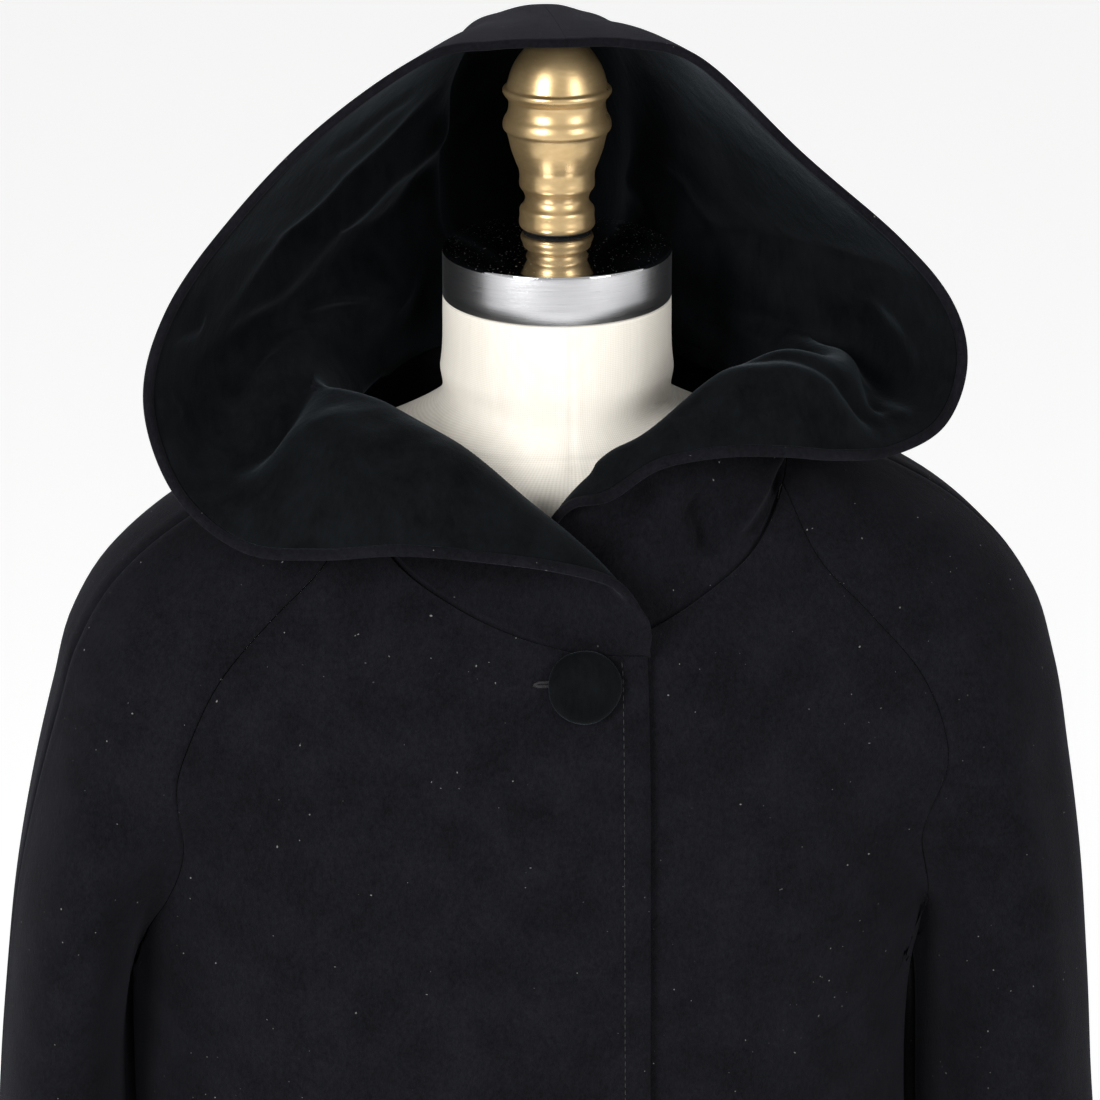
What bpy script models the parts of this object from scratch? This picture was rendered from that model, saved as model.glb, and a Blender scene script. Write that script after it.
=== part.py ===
"""Hooded swing coat of black wool, worn by a limbless dress form on a round stand.

Metres, +Z up, the front faces -Y. The origin is on the floor, at the middle of the stand's base.
"right" and "left" in the pieces' names are the wearer's: the wearer's right is at -X.
The coat's outer skin is the zero surface of a smooth distance: a body of horizontal rings, with a
sleeve of rings on each side, melted into one above the armpits. Every panel is a grid between its
seams, pulled onto that skin, with a wall of cloth behind it. The hood's ribs run from its face edge
over the roll to the neckline and the centre-back seam.
"""
import bmesh
import bpy
import numpy as np

# ---------------------------------------------------------------- driving dimensions
WOOL = 0.0024               # thickness of the wool cloth
VELVET = 0.0012             # thickness of the velvet lining
SEAM_GAP = 0.0005           # clearance between two pieces at a seam
HOOD_GAP = 0.0005           # clearance between the hood's wool and its lining
NARROW = 0.0030             # width of the grid's outermost strip, which keeps a seam's true slope
LAP = 0.0026                # how far each front leaves the common skin where they lap
LAP_NEAR, LAP_FAR = 0.045, 0.100    # from here on the lap fades, and here it ends
FRONT_EDGE = 0.031          # each front reaches this far past the centre front
HEM = 0.400                 # height of the hem
CUFF = 0.760                # height of the cuffs
ARMPIT = 1.112              # height of the underarm point
RAGLAN_STEPS = (0, 0.05, 0.13, 0.24, 0.37, 0.52, 0.68, 0.85, 1)     # rows of the panels beside the raglan seam
RAGLAN_ROWS, SIDE_ROWS = 8, 11      # how many they are, and how many follow below
OVER_ARM_SHARE = 0.47       # share of the over-arm seam that lies beside the raglan
RIM_WIDTH, RIM_SLOPE = 0.005, 0.0018    # the wool turned round the hood's face edge
BUTTON_RADIUS, BUTTON_HEIGHT = 0.0180, 0.0095
BUTTON_X, BUTTON_Z = -0.001, 1.311

CAP_RADIUS, CAP_BOTTOM, CAP_RIM = 0.057, 1.475, 1.500
CAP_DOME = 0.0086           # rise of the cap's top from its rim to its middle
FINIAL_TIP = 1.6055
WASHER = 0.0008
NECK_TOP = CAP_BOTTOM - 0.0003
TORSO_BOTTOM = 0.800
POLE_RADIUS, BASE_RADIUS, BASE_HEIGHT = 0.0165, 0.220, 0.030
TOUCH = 0.0003              # clearance where one piece rests on another


def table(names, rows):
    """A short table as a dictionary of columns, in rising order of its first column."""
    rows = sorted(rows)
    return dict(zip(names.split(), np.array(rows, float).T))


# ---------------------------------------------------------------- the coat's rings
BODY = table("height right left front back", [
    (1.460, 0.045, 0.045, 0.000, 0.056),
    (1.437, 0.074, 0.074, -0.028, 0.078),
    (1.410, 0.102, 0.102, -0.064, 0.090),
    (1.385, 0.122, 0.122, -0.082, 0.099),
    (1.360, 0.140, 0.140, -0.096, 0.106),
    (1.330, 0.156, 0.158, -0.108, 0.111),
    (1.280, 0.192, 0.196, -0.121, 0.115),
    (1.200, 0.203, 0.221, -0.129, 0.119),
    (1.100, 0.188, 0.226, -0.136, 0.127),
    (1.000, 0.190, 0.228, -0.145, 0.140),
    (0.800, 0.222, 0.240, -0.172, 0.170),
    (0.600, 0.275, 0.278, -0.208, 0.206),
    (0.400, 0.322, 0.322, -0.244, 0.242),
])
BODY_SQUARENESS = 2.3

SLEEVE_LEAN = 0.34          # how far a sleeve's back part leans in behind the body, for each metre behind its middle
LEAN_FROM = 1.125           # it grows from this height
LEAN_FULL = 1.030           # down to this one
LEAN_SOFTNESS = 0.012
SLEEVE_LEFT = table("height inner outer y half_depth", [      # the wearer's left, distances from the middle
    (1.430, 0.010, 0.070, 0.012, 0.030),
    (1.412, 0.020, 0.112, 0.006, 0.042),
    (1.390, 0.040, 0.160, 0.000, 0.055),
    (1.370, 0.059, 0.195, -0.002, 0.063),
    (1.345, 0.080, 0.224, -0.004, 0.070),
    (1.315, 0.099, 0.246, -0.006, 0.078),
    (1.280, 0.114, 0.258, -0.008, 0.084),
    (1.230, 0.152, 0.267, -0.010, 0.086),
    (1.180, 0.176, 0.2745, -0.012, 0.085),
    (1.112, 0.1905, 0.2815, -0.014, 0.086),
    (1.000, 0.197, 0.2915, -0.018, 0.082),
    (0.880, 0.213, 0.308, -0.022, 0.079),
    (0.760, 0.240, 0.324, -0.026, 0.076),
])
SLEEVE_RIGHT = table("height inner outer y half_depth", [     # the wearer's right
    (1.430, 0.010, 0.070, 0.012, 0.030),
    (1.412, 0.020, 0.112, 0.006, 0.042),
    (1.390, 0.044, 0.164, 0.000, 0.055),
    (1.370, 0.062, 0.199, -0.002, 0.063),
    (1.345, 0.083, 0.229, -0.004, 0.070),
    (1.315, 0.105, 0.2485, -0.006, 0.077),
    (1.280, 0.131, 0.2590, -0.008, 0.082),
    (1.230, 0.184, 0.2720, -0.010, 0.085),
    (1.180, 0.211, 0.2825, -0.012, 0.083),
    (1.112, 0.2285, 0.292, -0.014, 0.080),
    (1.000, 0.234, 0.303, -0.018, 0.077),
    (0.880, 0.241, 0.315, -0.022, 0.075),
    (0.760, 0.254, 0.328, -0.026, 0.074),
])
SLEEVES = {"left": SLEEVE_LEFT, "right": SLEEVE_RIGHT}
SLEEVE_SQUARENESS = 2.2
MELT = table("height radius", [     # how softly sleeve and body melt together
    (1.430, 0.050), (1.300, 0.060), (1.240, 0.046), (1.190, 0.030), (1.160, 0.012), (1.130, 0.004), (0.400, 0.003),
])

FLUTES = table("angle spread depth start", [    # soft swings of the skirt, angles from the front
    (-163, 16, 0.026, 1.02), (-122, 15, 0.022, 0.96), (-82, 15, 0.016, 0.78), (-38, 15, 0.026, 0.97),
    (35, 15, 0.027, 0.99), (80, 15, 0.016, 0.78), (121, 15, 0.023, 0.96), (161, 16, 0.027, 1.02),
])

# ---------------------------------------------------------------- seams, on the wearer's own side (x > 0)
NECKLINE = [(-0.033, -0.110, 1.323), (0.000, -0.110, 1.326), (0.031, -0.107, 1.335), (0.060, -0.099, 1.348),
            (0.088, -0.086, 1.367), (0.104, -0.060, 1.390), (0.108, -0.018, 1.407), (0.096, 0.032, 1.422),
            (0.060, 0.063, 1.432), (0.000, 0.078, 1.437)]
FRONT_RAGLAN_KNOT, SHOULDER_KNOT, BACK_RAGLAN_KNOT = 5, 6, 7
FRONT_RAGLAN = {
    "left": [(0.122, -0.085, 1.361), (0.148, -0.092, 1.332), (0.172, -0.094, 1.300), (0.186, -0.093, 1.258)],
    "right": [(0.128, -0.085, 1.366), (0.150, -0.092, 1.346), (0.176, -0.096, 1.316), (0.196, -0.094, 1.270)],
}
BACK_RAGLAN = [(0.118, 0.076, 1.376), (0.146, 0.092, 1.330), (0.170, 0.094, 1.280), (0.184, 0.086, 1.235)]
VALLEY_HEIGHTS = (1.205, 1.165, 1.130)     # here the raglan seams follow the valley between body and sleeve
OVER_ARM = {
    "left": [(0.165, -0.012, 1.388), (0.214, -0.012, 1.356), (0.245, -0.012, 1.312), (0.262, -0.012, 1.240),
             (0.277, -0.014, 1.160), (0.292, -0.018, 1.000)],
    "right": [(0.168, -0.024, 1.388), (0.214, -0.028, 1.352), (0.243, -0.034, 1.300), (0.262, -0.036, 1.240),
              (0.279, -0.034, 1.185), (0.300, -0.030, 1.000)],
}

# ---------------------------------------------------------------- the hood, on the coat's own axes
BACK_SEAM = [(0.0785, 1.446), (0.092, 1.4505), (0.115, 1.449), (0.141, 1.441), (0.165, 1.450), (0.177, 1.486), (0.164, 1.532),
             (0.124, 1.578), (0.068, 1.6035), (0.026, 1.6080), (0.000, 1.6085), (-0.036, 1.6085)]
# y and z of the back seam, from behind the nape to the crown's front
# one rib in each row: how far along the neckline and back seam it starts, its point on the face edge, the
# point where it turns over, and how far each leg swells towards the wool side
HOOD_RIGHT = [
    (0.000, (0.0312, -0.1150, 1.3380), (0.0318, -0.1125, 1.3310), 0.000, 0.000),
    (0.012, (0.026, -0.121, 1.353), (0.024, -0.118, 1.345), 0.000, 0.000),
    (0.026, (0.012, -0.131, 1.369), (0.006, -0.114, 1.371), 0.000, 0.001),
    (0.042, (-0.015, -0.134, 1.379), (-0.005, -0.105, 1.381), -0.001, 0.003),
    (0.070, (-0.048, -0.131, 1.384), (-0.024, -0.089, 1.394), -0.003, 0.003),
    (0.108, (-0.090, -0.123, 1.386), (-0.056, -0.073, 1.421), -0.005, 0.002),
    (0.147, (-0.128, -0.111, 1.381), (-0.092, -0.057, 1.438), -0.006, 0.000),
    (0.186, (-0.163, -0.093, 1.380), (-0.121, -0.034, 1.442), -0.002, 0.000),
    (0.225, (-0.193, -0.073, 1.402), (-0.124, 0.000, 1.448), 0.014, 0.000),
    (0.270, (-0.206, -0.063, 1.445), (-0.108, 0.030, 1.458), 0.012, 0.002),
    (0.330, (-0.1945, -0.060, 1.488), (-0.075, 0.058, 1.475), 0.004, 0.004),
    (0.420, (-0.163, -0.057, 1.531), (-0.061, 0.072, 1.503), 0.000, 0.010),
    (0.520, (-0.120, -0.053, 1.573), (-0.056, 0.052, 1.560), 0.000, 0.010),
    (0.610, (-0.069, -0.047, 1.6055), (-0.042, 0.020, 1.6000), 0.000, 0.006),
    (0.665, (-0.035, -0.041, 1.6095), (-0.021, 0.011, 1.6078), 0.000, 0.001),
    (0.705, (0.000, -0.036, 1.6085), (0.000, 0.006, 1.6085), 0.000, 0.000),
]
HOOD_LEFT = [
    (0.000, (-0.0310, -0.0965, 1.338), (-0.0310, -0.0985, 1.3310), 0.000, 0.000),
    (0.012, (-0.0270, -0.0905, 1.353), (-0.0262, -0.0920, 1.346), 0.000, 0.000),
    (0.026, (-0.0205, -0.0860, 1.3745), (-0.0200, -0.0860, 1.366), 0.000, 0.000),
    (0.044, (-0.0065, -0.0940, 1.3955), (-0.006, -0.0830, 1.391), 0.000, 0.001),
    (0.066, (0.012, -0.107, 1.4035), (0.011, -0.086, 1.410), 0.000, 0.003),
    (0.092, (0.036, -0.106, 1.418), (0.040, -0.081, 1.428), -0.001, 0.004),
    (0.124, (0.066, -0.107, 1.423), (0.073, -0.064, 1.445), -0.003, 0.004),
    (0.156, (0.096, -0.101, 1.420), (0.106, -0.046, 1.452), -0.004, 0.002),
    (0.188, (0.126, -0.090, 1.413), (0.132, -0.035, 1.447), -0.002, 0.000),
    (0.216, (0.156, -0.075, 1.409), (0.1395, -0.012, 1.4440), 0.005, 0.000),
    (0.244, (0.1855, -0.060, 1.418), (0.131, 0.011, 1.4455), 0.013, 0.000),
    (0.282, (0.1975, -0.052, 1.446), (0.110, 0.030, 1.452), 0.010, 0.002),
    (0.340, (0.1895, -0.050, 1.477), (0.073, 0.057, 1.473), 0.003, 0.004),
    (0.425, (0.1620, -0.050, 1.510), (0.060, 0.072, 1.501), 0.000, 0.010),
    (0.520, (0.114, -0.049, 1.552), (0.056, 0.052, 1.558), 0.000, 0.010),
    (0.610, (0.064, -0.046, 1.5995), (0.040, 0.020, 1.5985), 0.000, 0.006),
    (0.665, (0.031, -0.041, 1.6085), (0.019, 0.011, 1.6075), 0.000, 0.001),
    (0.705, (0.000, -0.036, 1.6085), (0.000, 0.006, 1.6085), 0.000, 0.000),
]
HOOD = {"right": HOOD_RIGHT, "left": HOOD_LEFT}
HOOD_COLUMNS, HOOD_ROWS = 30, 12
ROLL = 0.95             # how round the turn is
SHARED_FROM, SHARED_SHARE = 0.0112, 0.24     # where the rows shared by wool and velvet start, in m and at most

# ---------------------------------------------------------------- the dress form
TORSO = table("height half_width front back", [
    (0.800, 0.160, -0.098, 0.112), (0.860, 0.168, -0.104, 0.120), (0.950, 0.156, -0.100, 0.110),
    (1.060, 0.124, -0.092, 0.082), (1.150, 0.134, -0.102, 0.086), (1.220, 0.148, -0.114, 0.092),
    (1.280, 0.158, -0.104, 0.094), (1.330, 0.1740, -0.088, 0.088), (1.358, 0.1880, -0.074, 0.080),
    (1.378, 0.1759, -0.068, 0.074), (1.394, 0.1379, -0.068, 0.068), (1.406, 0.0960, -0.064, 0.063),
    (1.420, 0.0630, -0.0590, 0.0590), (1.440, 0.0585, -0.0585, 0.0585), (NECK_TOP, 0.0570, -0.0570, 0.0570),
])
FINIAL = [      # radius, height, from the tip down
    (0.0000, 1.6055), (0.0080, 1.6046), (0.0136, 1.6014), (0.0172, 1.5972), (0.0203, 1.5928), (0.0228, 1.5876),
    (0.0243, 1.5826), (0.0250, 1.5806), (0.0264, 1.5796), (0.0266, 1.5780), (0.0258, 1.5762), (0.0242, 1.5742),
    (0.0238, 1.5706), (0.0246, 1.5672), (0.0262, 1.5642), (0.0267, 1.5618), (0.0264, 1.5596), (0.0250, 1.5580),
    (0.0243, 1.5560), (0.0227, 1.5494), (0.0204, 1.5428), (0.0189, 1.5390), (0.0185, 1.5360), (0.0185, 1.5306),
    (0.0166, 1.5276), (0.0157, 1.5242), (0.0168, 1.5214), (0.0183, 1.5196), (0.0185, 1.5160), (0.0184, 1.5104),
    (0.0179, 1.5097), (0.0000, 1.5097),
]


# ---------------------------------------------------------------- curves and the skin
def smooth_read(knots, values, at, flat_end=False):
    """Cubic through the values at rising knots, its slope at each taken from the neighbours.

    With a flat end, the curve meets its mirror image across x = 0 without a corner.
    """
    knots, values = np.asarray(knots, float), np.asarray(values, float)
    slopes = np.gradient(values, knots, axis=0)
    if flat_end:
        slopes[-1, 1:] = 0
    at = np.clip(at, knots[0], knots[-1])
    low = np.clip(np.searchsorted(knots, at, side="right") - 1, 0, len(knots) - 2)
    span = knots[low + 1] - knots[low]
    t = (at - knots[low]) / span
    if values.ndim > 1:
        t, span = t[..., None], span[..., None]
    h00, h10 = 2 * t**3 - 3 * t**2 + 1, t**3 - 2 * t**2 + t
    h01, h11 = 3 * t**2 - 2 * t**3, t**3 - t**2
    return h00 * values[low] + h10 * span * slopes[low] + h01 * values[low + 1] + h11 * span * slopes[low + 1]


def column(source, name, at):
    """One column of a table, read smoothly at some heights."""
    return smooth_read(source[next(iter(source))], source[name], at)


def curve_through(points, per_span=10):
    """A dense smooth curve through control points, with a fixed number of steps in each span."""
    points = np.asarray(points, float)
    steps = np.r_[0, np.cumsum(np.linalg.norm(np.diff(points, axis=0), axis=1))]
    at = np.concatenate([np.linspace(a, b, per_span, endpoint=False) for a, b in zip(steps, steps[1:])])
    return smooth_read(steps, points, np.r_[at, steps[-1]])


def along(curve, fraction):
    """Points of a dense curve at fractions of its length."""
    steps = np.r_[0, np.cumsum(np.linalg.norm(np.diff(curve, axis=0), axis=1))]
    return np.stack([np.interp(fraction * steps[-1], steps, curve[:, k]) for k in range(3)], -1)


def smooth_step(low, high, at):
    t = np.clip((at - low) / (high - low), 0, 1)
    return t * t * (3 - 2 * t)


def ring_distance(x, y, half_width, half_depth, squareness):
    """Distance along the ray from a ring's middle to the ring, negative inside."""
    reach = ((np.abs(x) / half_width)**squareness + (np.abs(y) / half_depth)**squareness)**(1 / squareness)
    return np.hypot(x, y) * (1 - 1 / np.maximum(reach, 1e-6))


def flute_height(x, y, z):
    """How far the skirt swings out: one soft ridge for each row of the flutes."""
    angle = np.degrees(np.arctan2(x, -y))[..., None]
    turn = (angle - FLUTES["angle"] + 180) % 360 - 180
    grown = smooth_step(0, 1, (FLUTES["start"] - z[..., None]) / (FLUTES["start"] - HEM))
    return (FLUTES["depth"] * grown * np.exp(-(turn / FLUTES["spread"])**2)).sum(-1)


def body_distance(p):
    x, y, z = p[..., 0], p[..., 1], p[..., 2]
    front, back = column(BODY, "front", z), column(BODY, "back", z)
    half_width = np.where(x > 0, column(BODY, "right", z), column(BODY, "left", z))
    y = y - (front + back) / 2
    return ring_distance(x, y, half_width, (back - front) / 2, BODY_SQUARENESS) - flute_height(x, y, p[..., 2])


def sleeve_middle(side, z):
    """Middle and half sizes of a sleeve's ring: x, y, half width, half depth."""
    source, out = SLEEVES[side], 1 if side == "left" else -1
    inner, outer = column(source, "inner", z), column(source, "outer", z)
    return out * (inner + outer) / 2, column(source, "y", z), (outer - inner) / 2, column(source, "half_depth", z)


def sleeve_distance(p, side):
    """Distance to a sleeve's rings, whose back part leans in behind the body."""
    x, y, half_width, half_depth = sleeve_middle(side, p[..., 2])
    behind = np.maximum(p[..., 1] - y, 0)
    inward = SLEEVE_LEAN * smooth_step(LEAN_FROM, LEAN_FULL, p[..., 2]) * behind**2 / (behind + LEAN_SOFTNESS)
    x = x - inward if side == "left" else x + inward
    return ring_distance(p[..., 0] - x, p[..., 1] - y, half_width, half_depth, SLEEVE_SQUARENESS)


def skin_distance(p, own):
    """Distance to the coat's outer skin as a panel sees it: below the armpit it sees only its own tube."""
    body = body_distance(p)
    sleeves = np.minimum(sleeve_distance(p, "left"), sleeve_distance(p, "right"))
    part = np.maximum(0, ARMPIT + 0.010 - p[..., 2]) * 6
    first, second = (body, sleeves + part) if own == "body" else (sleeves, body + part)
    radius = column(MELT, "radius", p[..., 2])
    near = np.maximum(radius - np.abs(first - second), 0)
    return np.minimum(first, second) - near**2 / radius / 4


def skin_slope(p, own, step=1e-4):
    """Gradient of the skin's distance."""
    axes = np.eye(3) * step
    return np.stack([skin_distance(p + a, own) - skin_distance(p - a, own) for a in axes], -1) / (2 * step)


def onto_skin(p, own):
    """Pull points onto the skin along its slope."""
    for _ in range(14):
        slope = skin_slope(p, own)
        p = p - (skin_distance(p, own) / np.maximum((slope**2).sum(-1), 1e-6))[..., None] * slope
    return p


def skin_normal(p, own):
    slope = skin_slope(p, own)
    return slope / np.linalg.norm(slope, axis=-1, keepdims=True)


def lapped(p, own, layer):
    """Move the fronts off the common skin where they lap: layer 1 is on top, -1 is under it."""
    fade = 1 - smooth_step(LAP_NEAR, LAP_FAR, np.abs(p[..., 0]))
    return p + skin_normal(p, own) * (layer * LAP * fade)[..., None] if layer else p


def mirrored(points, side):
    """Control points on the wearer's own side, placed at +X for the left and at -X for the right."""
    return np.asarray(points, float) * (1 if side == "left" else -1, 1, 1)


# ---------------------------------------------------------------- seams of the coat
def level_onto_skin(points, own):
    """Pull points onto the skin without changing their height."""
    for _ in range(14):
        slope = skin_slope(points, own) * (1, 1, 0)
        points = points - (skin_distance(points, own) / (slope**2).sum(-1))[..., None] * slope
    return points


def valley(side, way):
    """Where the body's and the sleeve's rings cross at the valley heights, in front (-1) or behind (1)."""
    out = 1 if side == "left" else -1
    heights = np.array(VALLEY_HEIGHTS)
    width = [column(BODY, "right" if side == "left" else "left", z) for z in heights]
    points = np.stack([out * np.array(width) * 0.92, way * np.array([0.075, 0.062, 0.035]), heights], -1)
    for _ in range(30):
        shifts = np.eye(3)[:2] * 1e-5
        values = np.stack([body_distance(points), sleeve_distance(points, side)], -1)
        slopes = np.stack([np.stack([body_distance(points + a), sleeve_distance(points + a, side)], -1) - values
                           for a in shifts], -1) / 1e-5
        step = np.linalg.solve(slopes, values[..., None])[..., 0]
        points[:, :2] -= np.clip(step, -0.01, 0.01)
    return points


def underarm_points(side):
    """The top of the side seam and the top of the sleeve's seam, which just miss each other."""
    out = 1 if side == "left" else -1
    y = column(SLEEVES[side], "y", ARMPIT)
    body = (out * column(BODY, "right" if side == "left" else "left", ARMPIT), y, ARMPIT)
    sleeve = (out * column(SLEEVES[side], "inner", ARMPIT), y, ARMPIT)
    return level_onto_skin(np.array([body]), "body")[0], level_onto_skin(np.array([sleeve]), side)[0]


def coat_seams(side):
    """All seam curves of one half of the coat, on the skin."""
    neckline = onto_skin(curve_through(mirrored(NECKLINE, side)), "body")
    knots = [10 * k for k in (FRONT_RAGLAN_KNOT, SHOULDER_KNOT, BACK_RAGLAN_KNOT)]
    at_front, at_shoulder, at_back = (neckline[k] for k in knots)
    out = 1 if side == "left" else -1
    side_heights = np.linspace(ARMPIT, HEM, 12)[1:]
    own_body, own_sleeve = underarm_points(side)
    front_raglan = np.vstack([at_front, mirrored(FRONT_RAGLAN[side], side), valley(side, -1), own_body])
    back_raglan = np.vstack([at_back, mirrored(BACK_RAGLAN, side), valley(side, 1), own_body])
    side_x = [column(BODY, "right" if side == "left" else "left", z) for z in side_heights]
    side_seam = np.vstack([own_body] + [(out * x, -0.002, z) for x, z in zip(side_x, side_heights)])
    inner_heights = np.linspace(ARMPIT, CUFF, 8)[1:]
    inner = [(out * column(SLEEVES[side], "inner", z), column(SLEEVES[side], "y", z), z) for z in inner_heights]
    cuff_x = out * column(SLEEVES[side], "outer", CUFF)
    over_arm = np.vstack([at_shoulder, mirrored(OVER_ARM[side], side), (cuff_x, OVER_ARM[side][-1][1], CUFF)])
    return {
        "neck_front": neckline[:knots[0] + 1], "neck_shoulder_front": neckline[knots[0]:knots[1] + 1],
        "neck_shoulder_back": neckline[knots[1]:knots[2] + 1], "neck_back": neckline[knots[2]:],
        "neckline": neckline,
        "front_raglan": curve_through(front_raglan), "back_raglan": curve_through(back_raglan),
        "side_seam": level_onto_skin(curve_through(side_seam), "body"),
        "underarm_seam": level_onto_skin(curve_through(np.vstack([own_sleeve, inner])), side),
        "over_arm": onto_skin(curve_through(over_arm), side),
    }


def straight_edge(x, top):
    """A front edge or the centre back: straight down at one x from its top to the hem."""
    heights = np.linspace(top[2], HEM, 60)
    depth = column(BODY, "front" if top[1] < 0 else "back", heights)
    points = np.stack([np.full(60, x), depth, heights], -1)
    return level_onto_skin(points, "body")


def joined(*curves):
    """Curves laid end to end, without the doubled points."""
    return np.vstack([curves[0]] + [c[1:] for c in curves[1:]])


# ---------------------------------------------------------------- panels
def inset_steps(count, length):
    """Fractions along a row: a hair in from each seam, a narrow strip, then even steps."""
    gap, strip = SEAM_GAP / 2 / length, NARROW / length
    inner = gap + strip + np.linspace(0, 1, count - 1) * (1 - 2 * (gap + strip))
    return np.concatenate([[gap], inner, [1 - gap]])


def down_steps(share, lower_rows):
    """Fractions down an edge that faces a raglan seam: so many rows beside it, the rest below."""
    return np.concatenate([share * np.array(RAGLAN_STEPS), np.linspace(share, 1, lower_rows + 1)[1:]])


def panel_points(top, bottom, start, end, columns, own, puff):
    """A grid of skin points. Rows run from the start edge to the end edge, whose points they share."""
    share = np.linspace(0, 1, len(start))[:, None, None]
    u = np.linspace(0, 1, columns + 1)[None, :, None]
    rows = (1 - u) * start[:, None] + u * end[:, None]
    across_top, across_bottom = along(top, u[0, :, 0]), along(bottom, u[0, :, 0])
    level = (1 - u[0]) * top[0] + u[0] * top[-1], (1 - u[0]) * bottom[0] + u[0] * bottom[-1]
    rows = rows + (1 - share) * (across_top - level[0]) + share * (across_bottom - level[1])
    width = np.linalg.norm(end - start, axis=1)[:, None]
    inside = (share[..., 0] > 0) & (share[..., 0] < 1)
    rows[..., 1] += np.where(inside, puff * 0.4 * width * np.sin(np.pi * u[..., 0]), 0)
    for _ in range(2):
        rows = onto_skin(rows, own)
        rows[:, 0], rows[:, -1] = start, end
        lengths = np.linalg.norm(np.diff(rows, axis=1), axis=2).sum(1)
        rows = np.stack([along(row, inset_steps(columns, max(w, 0.03))) for row, w in zip(rows, lengths)])
    return onto_skin(rows, own)


def cloth(name, outside, inside, made):
    """A closed wall of cloth: two grids of points, their faces, and the edges that join their borders."""
    rows, columns = outside.shape[:2]
    index = np.arange(rows * columns).reshape(rows, columns)
    a, b, c, d = index[:-1, :-1], index[:-1, 1:], index[1:, 1:], index[1:, :-1]
    sheet = np.concatenate([np.stack(corners, -1).reshape(-1, 3) for corners in ((a, b, c), (a, c, d))])
    border = np.concatenate([index[0, :-1], index[:-1, -1], index[-1, :0:-1], index[:0:-1, 0]])
    ahead, far = np.roll(border, -1), rows * columns
    edges = np.concatenate([np.stack([ahead, border, border + far], -1), np.stack([ahead, border + far, ahead + far], -1)])
    faces = np.concatenate([sheet, sheet[:, ::-1] + far, edges])
    points = np.concatenate([outside.reshape(-1, 3), inside.reshape(-1, 3)])
    first, second, third = (points[faces[:, k]] for k in range(3))
    if np.sum(first * np.cross(second, third)) < 0:
        faces = faces[:, ::-1]
    mesh = bpy.data.meshes.new(name)
    mesh.from_pydata(points.tolist(), [], faces.tolist())
    return finish(add_object(name, mesh), made)


def panel(name, material, *edges, columns, own, puff, layer=0, other_slant=False):
    """One cut piece of wool between its seams. The other slant splits its quads along their other diagonal."""
    skin = panel_points(*edges, columns=columns, own=own, puff=puff)
    outside = lapped(skin, own, layer)
    inside = outside - WOOL * skin_normal(skin, own)
    if other_slant:
        outside, inside = outside[:, ::-1], inside[:, ::-1]
    return cloth(name, outside, inside, material)


def coat_half(side, wool):
    """Front, back and two sleeve pieces of one half."""
    seams = coat_seams(side)
    out = 1 if side == "left" else -1
    beside = np.array(RAGLAN_STEPS)
    below = np.linspace(0, 1, SIDE_ROWS + 1)[1:]
    front_edge = straight_edge(-out * FRONT_EDGE, seams["neckline"][0])
    centre_back = straight_edge(0.0, seams["neckline"][-1])
    for name, edge, raglan, neck, puff, columns in (
            ("front", front_edge, "front_raglan", seams["neck_front"], -1, 9),
            ("back", centre_back, "back_raglan", seams["neck_back"][::-1], 1, 8)):
        seam = np.vstack([onto_skin(along(seams[raglan], beside[:-1]), "body"), seams["side_seam"][:1],
                          along(seams["side_seam"], below)])
        hem = hem_curve(edge[-1], seam[-1])
        share = (edge[0][2] - ARMPIT + 0.02) / (edge[0][2] - HEM)
        layer = {"front": -out, "back": 0}[name]
        panel(f"{name}_{side}", wool, neck, hem, along(edge, down_steps(share, SIDE_ROWS)), seam,
              columns=columns, own="body", puff=puff, layer=layer)
    for where, raglan, neck, way in (("front", "front_raglan", seams["neck_shoulder_front"][::-1], -1),
                                     ("back", "back_raglan", seams["neck_shoulder_back"], 1)):
        seam = np.vstack([onto_skin(along(seams[raglan], beside[:-1]), "body"), seams["underarm_seam"][:1],
                          along(seams["underarm_seam"], np.linspace(0, 1, RAGLAN_ROWS + 1)[1:])])
        outer = along(seams["over_arm"], down_steps(OVER_ARM_SHARE, RAGLAN_ROWS))
        panel(f"sleeve_{side}_{where}", wool, neck, half_cuff(outer[-1], seam[-1], side, way), outer, seam,
              columns=10, own=side, puff=0.75 * way, other_slant=(side, where) == ("right", "back"))
    return seams


def hem_curve(start, end):
    """The hem between two points, round the body's middle."""
    turn_a, turn_b = np.arctan2(start[0], -start[1]), np.arctan2(end[0], -end[1])
    turn_b = turn_a + (turn_b - turn_a + np.pi) % (2 * np.pi) - np.pi
    turn = np.linspace(turn_a, turn_b, 60)
    reach = np.linspace(np.hypot(*start[:2]), np.hypot(*end[:2]), 60)
    points = np.stack([reach * np.sin(turn), -reach * np.cos(turn), np.full(60, HEM)], -1)
    return level_onto_skin(points, "body")


def half_cuff(start, end, side, way):
    """The front or back half of a cuff, from the over-arm seam to the under-arm seam."""
    out = 1 if side == "left" else -1
    x, y, width, depth = sleeve_middle(side, CUFF)
    first = np.arctan2(way * (start[1] - y) / depth, out * (start[0] - x) / width)
    turn = np.linspace(first, np.pi, 60)
    points = np.stack([x + out * width * np.cos(turn), y + way * depth * np.sin(turn), np.full(60, CUFF)], -1)
    points[-1] = end
    return level_onto_skin(points, side)


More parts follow.
